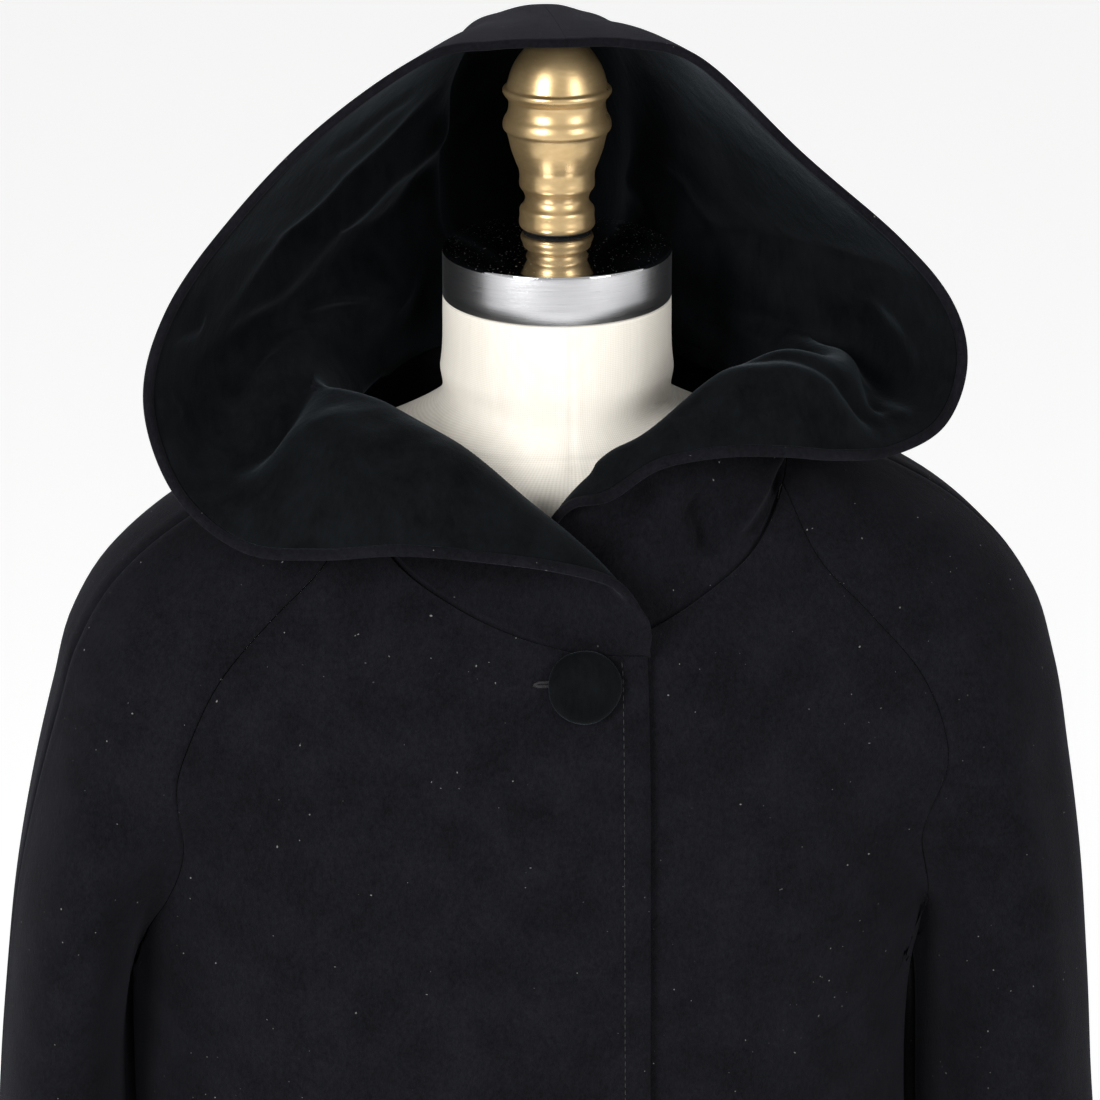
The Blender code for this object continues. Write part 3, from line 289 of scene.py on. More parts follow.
def meshFrom(name, points, faces, uv=None):     # a smooth-shaded object from arrays of points and faces
    mesh = bpy.data.meshes.new(name)
    mesh.vertices.add(len(points))
    mesh.vertices.foreach_set("co", np.ascontiguousarray(points, np.float32).ravel())
    size = faces.shape[1]
    mesh.loops.add(faces.size)
    mesh.loops.foreach_set("vertex_index", faces.ravel().astype(np.int32))
    mesh.polygons.add(len(faces))
    mesh.polygons.foreach_set("loop_start", np.arange(0, faces.size, size, dtype=np.int32))
    mesh.update(calc_edges=True)
    mesh.polygons.foreach_set("use_smooth", np.ones(len(faces), bool))
    if uv is not None:
        layer = mesh.uv_layers.new(name="cut")
        layer.data.foreach_set("uv", uv[faces.ravel()].astype(np.float32).ravel())
    mesh.validate()
    piece = bpy.data.objects.new(name, mesh)
    bpy.context.scene.collection.objects.link(piece)
    return piece


def outwards(points, faces):        # a closed shell's faces turned to face out
    a, b, c = (points[faces[:, k]] for k in (0, 1, 2))
    d = points[faces[:, -1]]
    volume = np.sum(a * np.cross(b, c)) + (np.sum(a * np.cross(c, d)) if faces.shape[1] == 4 else 0)
    return faces[:, ::-1] if volume < 0 else faces


# rings of points, each closed round, with a fan of faces from each end ring to a point of its own
def cappedTube(name, rings, firstTip, lastTip, uv=None):
    around = rings.shape[1]
    index = np.arange(rings[..., 0].size).reshape(-1, around)
    ahead = np.roll(index, -1, 1)
    quads = np.stack([index[:-1], ahead[:-1], ahead[1:], index[1:]], -1).reshape(-1, 4)
    firstFan = np.stack([np.full(around, index.size), ahead[0], index[0]], -1)
    lastFan = np.stack([np.full(around, index.size + 1), index[-1], ahead[-1]], -1)
    faces = np.concatenate([quads[:, :3], quads[:, [0, 2, 3]], firstFan, lastFan])
    points = np.concatenate([rings.reshape(-1, 3), [firstTip, lastTip]])
    return meshFrom(name, points, outwards(points, faces), uv)


def clothShell(name, outside, inside, uv, sharpFrom=55):    # two sheets of points, joined round their borders
    rows, columns = outside.shape[:2]
    sheet = faceGrid(rows, columns)
    index = np.arange(rows * columns).reshape(rows, columns)
    border = np.concatenate([index[0, :-1], index[:-1, -1], index[-1, :0:-1], index[:0:-1, 0]])
    ahead, far = np.roll(border, -1), rows * columns
    walls = np.stack([ahead, border, border + far, ahead + far], -1)
    faces = np.concatenate([sheet, sheet[:, ::-1] + far, walls])
    points = np.concatenate([outside.reshape(-1, 3), inside.reshape(-1, 3)])
    flat = uv.reshape(-1, 2)
    piece = meshFrom(name, points, outwards(points, faces), np.concatenate([flat, flat]))
    piece.data.set_sharp_from_angle(angle=np.radians(sharpFrom))
    return piece


def turnedShell(name, profile, around=128):     # a profile of radius and height, swept round the stand's axis
    profile = np.asarray(profile, float)
    turn = np.linspace(0, 2 * np.pi, around, endpoint=False)
    radius, height = profile[profile[:, 0] > 1e-6].T[..., None]
    rings = np.stack([radius * np.cos(turn), radius * np.sin(turn), np.repeat(height, around, 1)], -1)
    return cappedTube(name, rings, (0, 0, profile[0, 1]), (0, 0, profile[-1, 1]))


def settle(piece, material, *nodes, slot):      # gives a piece its material and body, and hides its CAD nodes
    piece.data.materials.append(material)
    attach(piece, "root")
    if nodes:
        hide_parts(*nodes)
    return piece


class Wire:     # a socket that takes part in sums, each of which adds a Math node
    def __init__(self, look, socket):
        self.look, self.socket = look, socket

    def __add__(self, other):
        return self.look.sum("ADD", self, other)

    def __rsub__(self, other):
        return self.look.sum("SUBTRACT", other, self)

    def __mul__(self, other):
        return self.look.sum("MULTIPLY", self, other)

    __radd__, __rmul__ = __add__, __mul__


class Look:     # one material and its nodes, on Object coordinates
    def __init__(self, name):
        self.material = bpy.data.materials.new(name)
        self.material.use_nodes = True
        self.tree = self.material.node_tree
        self.shader = self.tree.nodes["Principled BSDF"]
        self.place = self.add("ShaderNodeTexCoord", out="Object")

    def add(self, kind, settings={}, out=0, **inputs):      # i0, i1 and so on name an input by its number
        node = self.tree.nodes.new(kind)
        for key, value in settings.items():
            setattr(node, key, value)
        for key, value in inputs.items():
            numbered = key[0] == "i" and key[1:].isdigit()
            self.give(node.inputs[int(key[1:]) if numbered else key.replace("_", " ")], value)
        return Wire(self, node.outputs[out])

    def give(self, socket, value):      # a link from a wire, or the value itself
        if isinstance(value, Wire):
            self.tree.links.new(value.socket, socket)
        else:
            socket.default_value = value

    def sum(self, operation, a, b):     # one Math node on wires or numbers
        return self.add("ShaderNodeMath", {"operation": operation}, i0=a, i1=b)

    def noise(self, scale, detail=2.0, at=None, **more):        # 0 to 1, with this many spots to the metre
        at = at or self.place
        return self.add("ShaderNodeTexNoise", out="Fac", Vector=at, Scale=scale, Detail=detail, **more)

    def stretched(self, scale):     # the place times a scale for each axis
        return self.add("ShaderNodeMapping", {"vector_type": "POINT"}, Vector=self.place, Scale=scale)

    def between(self, value, low, high, toLow=0.0, toHigh=1.0):     # straight from low..high to toLow..toHigh
        return self.add("ShaderNodeMapRange", {"clamp": True}, Value=value, From_Min=low, From_Max=high,
                        To_Min=toLow, To_Max=toHigh)

    def mixed(self, share, a, b):       # (1 - share) * a + share * b, for colours
        return self.add("ShaderNodeMix", {"data_type": "RGBA"}, out=2, i0=share, i6=a, i7=b)

    def bump(self, height, strength, distance):     # distance is the real depth in metres
        return self.add("ShaderNodeBump", Height=height, Strength=strength, Distance=distance)

    def finish(self, **sockets):        # what goes to the shader's own sockets
        for key, value in sockets.items():
            self.give(self.shader.inputs[key.replace("_", " ")], value)
        return self.material


def rgb(r, g, b):       # a colour with full alpha
    return (r, g, b, 1.0)


woolLook = dict(dark=rgb(0.0028, 0.0028, 0.0038), light=rgb(0.0082, 0.0083, 0.0108), roughness=0.95,
                specular=0.05, sheen=0.035, sheenRoughness=0.40, sheenTint=rgb(0.80, 0.81, 1.0),
                napDepth=0.0006, lint=rgb(0.22, 0.21, 0.20), lintShare=0.6)


def makeWool():     # nap, tufts and clouds of noise mix two blacks, with sparse lint
    look, w = Look("blackWool"), woolLook
    nap = look.noise(1500.0, 3.0, at=look.stretched((1.0, 1.0, 0.45)), Roughness=0.65)
    tuft = look.noise(420.0, 3.0, at=look.stretched((1.0, 1.0, 0.7)))
    cloud = look.noise(38.0, 3.0)
    tone = look.between(nap * 0.45 + tuft * 0.30 + cloud * 0.35, 0.40, 0.72)
    colour = look.mixed(tone, w["dark"], w["light"])
    speck = look.between(look.noise(560.0, 0.0), 0.855, 0.885)
    patch = look.between(look.noise(31.0, 0.0), 0.46, 0.56)
    colour = look.mixed(speck * patch * w["lintShare"], colour, w["lint"])
    height = nap * 0.6 + tuft * 0.5 + cloud * 0.8
    return look.finish(Base_Color=colour, Roughness=w["roughness"], Specular_IOR_Level=w["specular"],
                       Sheen_Weight=w["sheen"], Sheen_Roughness=w["sheenRoughness"], Sheen_Tint=w["sheenTint"],
                       Normal=look.bump(height, 0.8, w["napDepth"]))


velvetLook = dict(deep=rgb(0.0012, 0.0015, 0.0018), soft=rgb(0.0046, 0.0056, 0.0067), roughness=0.85,
                  specular=0.04, sheen=0.085, sheenRoughness=0.36, sheenTint=rgb(0.74, 0.88, 1.0),
                  pileDepth=0.0006)


def makeVelvet():       # pile, streaks and crushed patches of noise, under a sheen
    look, v = Look("blackVelvet"), velvetLook
    pile = look.noise(1900.0, 2.0, Roughness=0.6)
    streak = look.noise(310.0, 4.0, at=look.stretched((1.0, 1.0, 0.25)), Roughness=0.7)
    crush = look.noise(26.0, 4.0, Distortion=0.6)
    brushed = look.noise(75.0, 3.0, at=look.stretched((1.0, 1.0, 0.5)))
    tone = look.between(crush * 0.45 + brushed * 0.25 + streak * 0.25 + pile * 0.15, 0.42, 0.68)
    colour = look.mixed(tone, v["deep"], v["soft"])
    height = pile * 0.5 + streak * 0.9 + brushed * 1.8 + crush * 3.2
    return look.finish(Base_Color=colour, Roughness=v["roughness"], Specular_IOR_Level=v["specular"],
                       Sheen_Weight=v["sheen"], Sheen_Roughness=v["sheenRoughness"], Sheen_Tint=v["sheenTint"],
                       Normal=look.bump(height, 0.5, v["pileDepth"]))


linenLook = dict(threads=2100.0 / 6.2832, light=rgb(0.86, 0.815, 0.735), dark=rgb(0.70, 0.65, 0.565),
                 roughness=0.85, specular=0.2, sheen=0.1, sheenRoughness=0.5, threadDepth=0.00016)


def makeLinen():        # two sine waves across the piece's own UV map make the weave, with slubs
    look, l = Look("creamLinen"), linenLook
    cut = look.add("ShaderNodeUVMap", {"uv_map": "cut"})
    across, down = (look.add("ShaderNodeTexWave", {"bands_direction": axis, "wave_profile": "SIN"}, out="Fac",
                             Vector=cut, Scale=l["threads"], Distortion=1.2, Detail=2.0, Detail_Scale=0.35)
                    for axis in "XY")
    slub = look.noise(120.0, 3.0, at=look.stretched((1.0, 1.0, 0.12)), Roughness=0.7)
    cloud = look.noise(9.0, 2.0)
    tone = look.between(across * 0.25 + down * 0.25 + slub * 0.45 + cloud * 0.2, 0.25, 0.75)
    return look.finish(Base_Color=look.mixed(tone, l["dark"], l["light"]), Roughness=l["roughness"],
                       Specular_IOR_Level=l["specular"], Sheen_Weight=l["sheen"],
                       Sheen_Roughness=l["sheenRoughness"],
                       Normal=look.bump(across * down + slub * 0.4, 0.5, l["threadDepth"]))


steelLook = dict(dark=rgb(0.56, 0.56, 0.58), light=rgb(0.70, 0.70, 0.71), brushedBelow=1.4982,
                 polishedFrom=1.4986, brushed=0.20, brushedSpread=0.12, polished=0.06, dust=0.4,
                 lineDepth=0.00010)


def makeSteel():        # fine lines round the side, which stop at the polished top and its dust
    look, m = Look("brushedSteel"), steelLook
    lines = look.noise(60.0, 4.0, at=look.stretched((1.0, 1.0, 90.0)), Roughness=0.75)
    fine = look.noise(300.0, 2.0, at=look.stretched((1.0, 1.0, 30.0)))
    height = look.add("ShaderNodeSeparateXYZ", out="Z", Vector=look.place)
    side = look.between(height, m["brushedBelow"], m["polishedFrom"], 1.0, 0.0)
    dust = look.between(look.noise(900.0, 1.0), 0.70, 0.74)
    tone = look.between(lines, 0.3, 0.7)
    rough = side * (m["brushed"] + m["brushedSpread"] * tone) + m["polished"] + dust * (1 - side) * m["dust"]
    return look.finish(Base_Color=look.mixed(tone, m["dark"], m["light"]), Metallic=1.0, Roughness=rough,
                       Normal=look.bump((lines + fine * 0.5) * side, 0.35, m["lineDepth"]))


goldLook = dict(dark=rgb(0.52, 0.36, 0.17), light=rgb(0.62, 0.45, 0.23), metallic=0.82, smooth=0.27,
                rough=0.38, coat=0.15, flowDepth=0.00025)


def makeGold():     # a satin lacquer whose tone and roughness drift over soft clouds
    look, g = Look("goldLacquer"), goldLook
    flow = look.noise(220.0, 3.0, at=look.stretched((1.0, 1.0, 2.5)))
    cloud = look.noise(45.0, 3.0)
    tone = look.between(flow * 0.4 + cloud * 0.6, 0.35, 0.65)
    return look.finish(Base_Color=look.mixed(tone, g["dark"], g["light"]), Metallic=g["metallic"],
                       Roughness=look.between(cloud, 0.3, 0.7, g["smooth"], g["rough"]), Coat_Weight=g["coat"],
                       Normal=look.bump(flow, 0.25, g["flowDepth"]))


# spots of noise mix two tones, and vary the roughness by its spread to either side
def makePlain(name, dark, light, roughness, metallic=0.0, grain=350.0, depth=0.0002, spread=0.08):
    look = Look(name)
    spots = look.noise(grain, 3.0)
    rough = look.between(spots, 0.2, 0.8, roughness - spread, roughness + spread)
    return look.finish(Base_Color=look.mixed(spots, dark, light), Roughness=rough, Metallic=metallic,
                       Normal=look.bump(spots, 0.3, depth))


wool, velvet, linen, steel, gold = makeWool(), makeVelvet(), makeLinen(), makeSteel(), makeGold()
thread = makePlain("blackThread", rgb(0.004, 0.004, 0.005), rgb(0.011, 0.011, 0.014), 0.75, grain=2600.0)
rubber = makePlain("blackRubber", rgb(0.006, 0.006, 0.006), rgb(0.016, 0.016, 0.016), 0.65)
iron = makePlain("paintedIron", rgb(0.016, 0.016, 0.019), rgb(0.030, 0.030, 0.034), 0.42, metallic=0.2,
                 grain=160.0, depth=0.0004)
print("materials made")


def nearLine(points, line):     # distance from each point to a line of points, and how far along it lies
    best, place = np.full(points.shape[:-1], 9.0), np.zeros(points.shape[:-1])
    steps = lengthsOf(line)
    for k in range(len(line) - 1):
        a, d = line[k], line[k + 1] - line[k]
        t = np.clip(((points - a) @ d) / (d @ d), 0, 1)
        gap = np.linalg.norm(points - a - t[..., None] * d, axis=-1)
        closer = gap < best
        best = np.where(closer, gap, best)
        place = np.where(closer, (steps[k] + t * (steps[k + 1] - steps[k])) / steps[-1], place)
    return best, place


# height * e^-(distance / width)^(2 - sharpness), fading over a share of its line at both ends
def ridge(fold, gap, place, ends):
    height, width, sharp = fold[:3]
    fade = smoothStep(0, ends, place) * (1 - smoothStep(1 - ends, 1, place))
    return height * fade * np.exp(-(gap / width)**(2 - sharp))


def foldHeight(points, folds):      # the sum of the folds' ridges
    return sum(ridge(fold, *nearLine(points, curveThrough(fold[3], 6)), 0.22) for fold in folds)


# the coat's soft folds: height, width, sharpness from 0 (round) to 1 (creased), and points of the line
coatFolds = {
    "sleeve_left_front": [
        (0.0040, 0.016, 0.2, [(0.190, -0.085, 1.352), (0.206, -0.088, 1.318), (0.212, -0.094, 1.270),
                              (0.222, -0.098, 1.210), (0.232, -0.100, 1.140), (0.236, -0.100, 1.060),
                              (0.232, -0.098, 0.96)]),
        (-0.0030, 0.020, 0.0, [(0.236, -0.075, 1.300), (0.250, -0.080, 1.220), (0.260, -0.082, 1.120),
                               (0.264, -0.080, 1.0)]),
        (0.0030, 0.022, 0.0, [(0.262, -0.070, 1.060), (0.268, -0.078, 0.98), (0.270, -0.080, 0.88),
                              (0.280, -0.080, 0.80)])],
    "sleeve_right_front": [
        (0.0030, 0.020, 0.1, [(-0.215, -0.080, 1.330), (-0.236, -0.088, 1.270), (-0.248, -0.094, 1.190),
                              (-0.258, -0.096, 1.10)]),
        (-0.0030, 0.016, 0.0, [(-0.200, -0.090, 1.312), (-0.215, -0.095, 1.260), (-0.226, -0.096, 1.200),
                               (-0.236, -0.090, 1.14)]),
        (0.0030, 0.022, 0.0, [(-0.262, -0.080, 1.060), (-0.270, -0.085, 0.97), (-0.276, -0.086, 0.88),
                              (-0.285, -0.085, 0.80)])],
    "sleeve_left_back": [
        (0.0032, 0.020, 0.1, [(0.190, 0.070, 1.330), (0.216, 0.074, 1.270), (0.232, 0.074, 1.190),
                              (0.240, 0.070, 1.08)]),
        (0.0030, 0.022, 0.0, [(0.235, 0.070, 1.040), (0.240, 0.066, 0.96), (0.250, 0.060, 0.86)])],
    "sleeve_right_back": [
        (0.0095, 0.024, 0.0, [(-0.224, 0.036, 1.170), (-0.228, 0.038, 1.130), (-0.230, 0.038, 1.080),
                              (-0.232, 0.036, 1.020)]),
        (0.0032, 0.020, 0.1, [(-0.196, 0.070, 1.320), (-0.220, 0.074, 1.250), (-0.238, 0.072, 1.170),
                              (-0.250, 0.066, 1.06)]),
        (0.0030, 0.022, 0.0, [(-0.262, 0.064, 1.020), (-0.270, 0.058, 0.93), (-0.280, 0.050, 0.84)])],
    "front_right": [
        (0.0022, 0.024, 0.0, [(-0.120, -0.105, 1.300), (-0.140, -0.118, 1.220), (-0.150, -0.126, 1.130),
                              (-0.150, -0.135, 1.02)]),
        (-0.0020, 0.026, 0.0, [(-0.165, -0.100, 1.230), (-0.178, -0.104, 1.160), (-0.184, -0.106, 1.08),
                               (-0.186, -0.110, 0.98)])],
    "front_left": [
        (0.0024, 0.022, 0.0, [(0.095, -0.108, 1.310), (0.120, -0.118, 1.230), (0.134, -0.126, 1.140),
                              (0.140, -0.132, 1.03)]),
        (0.0030, 0.014, 0.1, [(0.176, -0.090, 1.185), (0.178, -0.094, 1.130), (0.172, -0.098, 1.080),
                              (0.176, -0.106, 1.0)]),
        (-0.0022, 0.022, 0.0, [(0.060, -0.125, 1.230), (0.072, -0.134, 1.130), (0.078, -0.142, 1.02)])],
    "back_right": [
        (0.0040, 0.022, 0.0, [(-0.216, 0.044, 1.160), (-0.216, 0.046, 1.120), (-0.216, 0.048, 1.070),
                              (-0.218, 0.048, 1.010)]),
        (0.0024, 0.026, 0.0, [(-0.060, 0.106, 1.330), (-0.080, 0.115, 1.220), (-0.090, 0.124, 1.10),
                              (-0.094, 0.138, 0.98)]),
        (-0.0022, 0.026, 0.0, [(-0.130, 0.100, 1.240), (-0.146, 0.102, 1.140), (-0.150, 0.112, 1.02)])],
    "back_left": [
        (0.0022, 0.028, 0.0, [(0.050, 0.108, 1.320), (0.066, 0.117, 1.210), (0.074, 0.126, 1.09),
                              (0.080, 0.140, 0.97)]),
        (-0.0024, 0.024, 0.0, [(0.124, 0.100, 1.250), (0.138, 0.104, 1.150), (0.142, 0.116, 1.01)])],
}

# the wool panels: rows and columns of their grids, how full they start, and their seams' edges
panelGrid = dict(columns=64, beside=60, below=70, sleeveBelow=50, leastWidth=0.03, armpitTop=1.172,
                 armpitLow=1.142, fullness=0.4, sleeveFullness=0.75, besideArmpit=0.02)
panelEdge = dict(rows=(0, 0.0004, 0.0010, 0.0018, 0.0030, 0.0050), turned=0.0009, reach=0.0030, power=2.2,
                 hemShare=0.8, insideShare=0.6, swell=0.0005, swellAt=0.006, swellWidth=0.004,
                 foldsFrom=0.030)
stitching = dict(inset=0.0135, length=0.0030, pitch=0.0040, radius=0.00028, raised=0.00012, sides=6,
                 rings=5, channelDepth=0.00045, channelWidth=0.0011)
cuts, necklines, frontFaces = {}, {}, {}


def acrossSteps(count, length):     # closer rows by the two seams, so that their turned edges are round
    near = (np.array(panelEdge["rows"]) + coat["seamGap"] / 2) / length
    inner = np.linspace(near[-1], 1 - near[-1], count - 2 * len(near) + 3)[1:-1]
    return np.concatenate([near, inner, 1 - near[::-1]])


# Rows between two edges, (1 - u) * start + u * end, shifted to follow the top and bottom curves, are pulled
# onto the skin and spaced out again. Beside the armpit a front or back keeps to the body's own rings.
def panelSkin(top, bottom, start, end, own, full):
    columns = panelGrid["columns"]
    share = np.linspace(0, 1, len(start))[:, None, None]
    u = np.linspace(0, 1, columns + 1)[None, :, None]
    rows = (1 - u) * start[:, None] + u * end[:, None]
    for curve, part in ((top, 1 - share), (bottom, share)):
        rows = rows + part * (along(curve, u[0, :, 0]) - (1 - u[0]) * curve[0] - u[0] * curve[-1])
    width = np.linalg.norm(end - start, axis=1)[:, None]
    within = (share[..., 0] > 0) & (share[..., 0] < 1)
    rows[..., 1] += np.where(within, full * width * np.sin(np.pi * u[..., 0]), 0)
    for _ in range(2):
        rows = ontoSkin(rows, own, 10)
        rows[:, 0], rows[:, -1] = start, end
        lengths = np.maximum(np.linalg.norm(np.diff(rows, axis=1), axis=2).sum(1), panelGrid["leastWidth"])
        rows = np.stack([along(row, acrossSteps(columns, length)) for row, length in zip(rows, lengths)])
    skin = ontoSkin(rows, own, 6)
    if own != "body":
        return skin
    held = skin.copy()
    held[..., 0] = np.sign(skin[..., 0]) * np.minimum(np.abs(skin[..., 0]), np.abs(end[:, :1]))
    for _ in range(8):
        slope = np.stack([bodyDistance(held + a) - bodyDistance(held - a) for a in np.eye(3)[:2] * 1e-4], -1)
        slope = slope / 2e-4
        held[..., :2] -= (bodyDistance(held) / np.maximum((slope**2).sum(-1), 1e-6))[..., None] * slope
    low = smoothStep(panelGrid["armpitTop"], panelGrid["armpitLow"], skin[..., 2])[..., None]
    return skin + (held - skin) * low


def distanceIn(grid, axis):     # metres from a grid's two borders, measured along its own lines
    steps = np.linalg.norm(np.diff(grid, axis=axis), axis=-1)
    near = np.concatenate([np.zeros_like(np.take(steps, [0], axis)), np.cumsum(steps, axis)], axis)
    return near, np.take(near, [-1], axis) - near


def declareCut(piece, grid):      # the flat cut's width, length and area, measured on the grid
    width, length = float(distanceIn(grid, 1)[0].max()), float(distanceIn(grid, 0)[0].max())
    diagonals = np.cross(grid[1:, 1:] - grid[:-1, :-1], grid[1:, :-1] - grid[:-1, 1:])
    area = float(0.5 * np.linalg.norm(diagonals, axis=-1).sum())
    cuts[piece.name] = [round(width, 3), round(length, 3), round(area, 4)]


# The outer face is the lapped skin + folds + swell - turned edges, and the inner face lies the wool's thickness
# further in. The swell is the cloth of the seam's turnings, and each fold fades before it meets a seam.
def woolPanel(name, node, own, full, layer, top, bottom, start, end):
    edge = panelEdge
    skin = panelSkin(top, bottom, start, end, own, full)
    normal = skinNormal(skin, own)
    toStart, toEnd = distanceIn(skin, 1)
    toTop, toBottom = distanceIn(skin, 0)
    atSeam = np.minimum(toStart, toEnd)
    folds = foldHeight(skin, coatFolds[node]) * smoothStep(0.0, edge["foldsFrom"], np.minimum(atSeam, toTop))
    toEdge = np.minimum(atSeam, toBottom * edge["hemShare"])
    turned = edge["turned"] * np.clip(1 - toEdge / edge["reach"], 0, 1)**edge["power"]
    swell = edge["swell"] * np.exp(-((atSeam - edge["swellAt"]) / edge["swellWidth"])**2)
    if node.startswith("front"):
        fromStitches = (toStart - stitching["inset"]) / stitching["channelWidth"]
        swell -= stitching["channelDepth"] * np.exp(-fromStitches**2)
    middle = lapped(skin, own, layer)
    outside = middle + normal * (folds + swell - turned)[..., None]
    inside = middle + normal * (folds - coat["wool"] + edge["insideShare"] * turned)[..., None]
    uv = np.stack([toStart, toTop], -1)
    piece = settle(clothShell(name, outside, inside, uv), wool, node, slot="black_wool")
    declareCut(piece, skin)
    return outside


def downSteps(share, beside, below):        # even steps to this share of the length, and even steps from it on
    return np.concatenate([share * np.linspace(0, 1, beside + 1), np.linspace(share, 1, below + 1)[1:]])


for side in ("right", "left"):
    seams, out, grid = coatSeams(side), sideSign[side], panelGrid
    necklines[side] = seams["neckline"]
    beside, below, sleeveBelow = (np.linspace(0, 1, grid[k] + 1) for k in ("beside", "below", "sleeveBelow"))
    raglans = {where: ontoSkin(along(seams[where + "Raglan"], beside[:-1]), "body")
               for where in ("front", "back")}
    sideSeam = np.vstack([seams["sideSeam"][:1], along(seams["sideSeam"], below[1:])])
    frontEdge = straightEdge(-out * coat["frontEdge"], seams["neckline"][0])
    backEdge = straightEdge(0.0, seams["neckline"][-1])
    for where, edge, neck, way, layer in (("front", frontEdge, seams["neckFront"], -1, -out),
                                          ("back", backEdge, seams["neckBack"][::-1], 1, 0)):
        seam = np.vstack([raglans[where], sideSeam])
        share = (edge[0][2] - coat["armpit"] + grid["besideArmpit"]) / (edge[0][2] - coat["hem"])
        start = along(edge, downSteps(share, grid["beside"], grid["below"]))
        made = woolPanel(where + side.capitalize(), where + "_" + side, "body", way * grid["fullness"], layer,
                         neck, hemCurve(edge[-1], seam[-1]), start, seam)
        if where == "front":
            frontFaces[side] = made
    underarm = np.vstack([seams["underarmSeam"][:1], along(seams["underarmSeam"], sleeveBelow[1:])])
    outer = along(seams["overArm"], downSteps(coat["besideSeam"], grid["beside"], grid["sleeveBelow"]))
    for where, neck, way in (("front", seams["neckShoulderFront"][::-1], -1),
                             ("back", seams["neckShoulderBack"], 1)):
        seam = np.vstack([raglans[where], underarm])
        full = way * grid["sleeveFullness"] * grid["fullness"]
        name, node = "sleeve" + side.capitalize() + where.capitalize(), "sleeve_" + side + "_" + where
        woolPanel(name, node, side, full, 0, neck, halfCuff(outer[-1], seam[-1], side, way), outer, seam)
print("wool panels made")

# the hood: its grid and gaps, the rim where wool meets velvet, and the turnings tucked behind the fronts
hood = dict(roll=0.95, gap=0.0005, columns=230, rows=120, seamGap=0.0001, seatGap=0.0007, seatRise=0.0006,
            leftSeatGap=0.0013, foldReach=0.28, foldEnds=0.25)
hoodRim = dict(wool=0.0050, end=0.0068, woolRows=(0, 0.0006, 0.0014, 0.0024, 0.0036), thicker=0.0004,
               round=0.0026, flat=0.08, velvetSwell=0.0005, velvetFade=0.0015)
hoodTuck = dict(gap=0.0003, down=0.0090, shoulderFrom=0.094, shoulderFull=0.106, shoulderShare=0.7,
                rows=((-2, 0.3), (-1, 1.0)))
backSeam = [(0.0785, 1.446), (0.092, 1.4505), (0.115, 1.449), (0.141, 1.441), (0.165, 1.450),
            (0.177, 1.486), (0.164, 1.532), (0.124, 1.578), (0.068, 1.6035), (0.026, 1.6080),
            (0.000, 1.6085), (-0.036, 1.6085)]
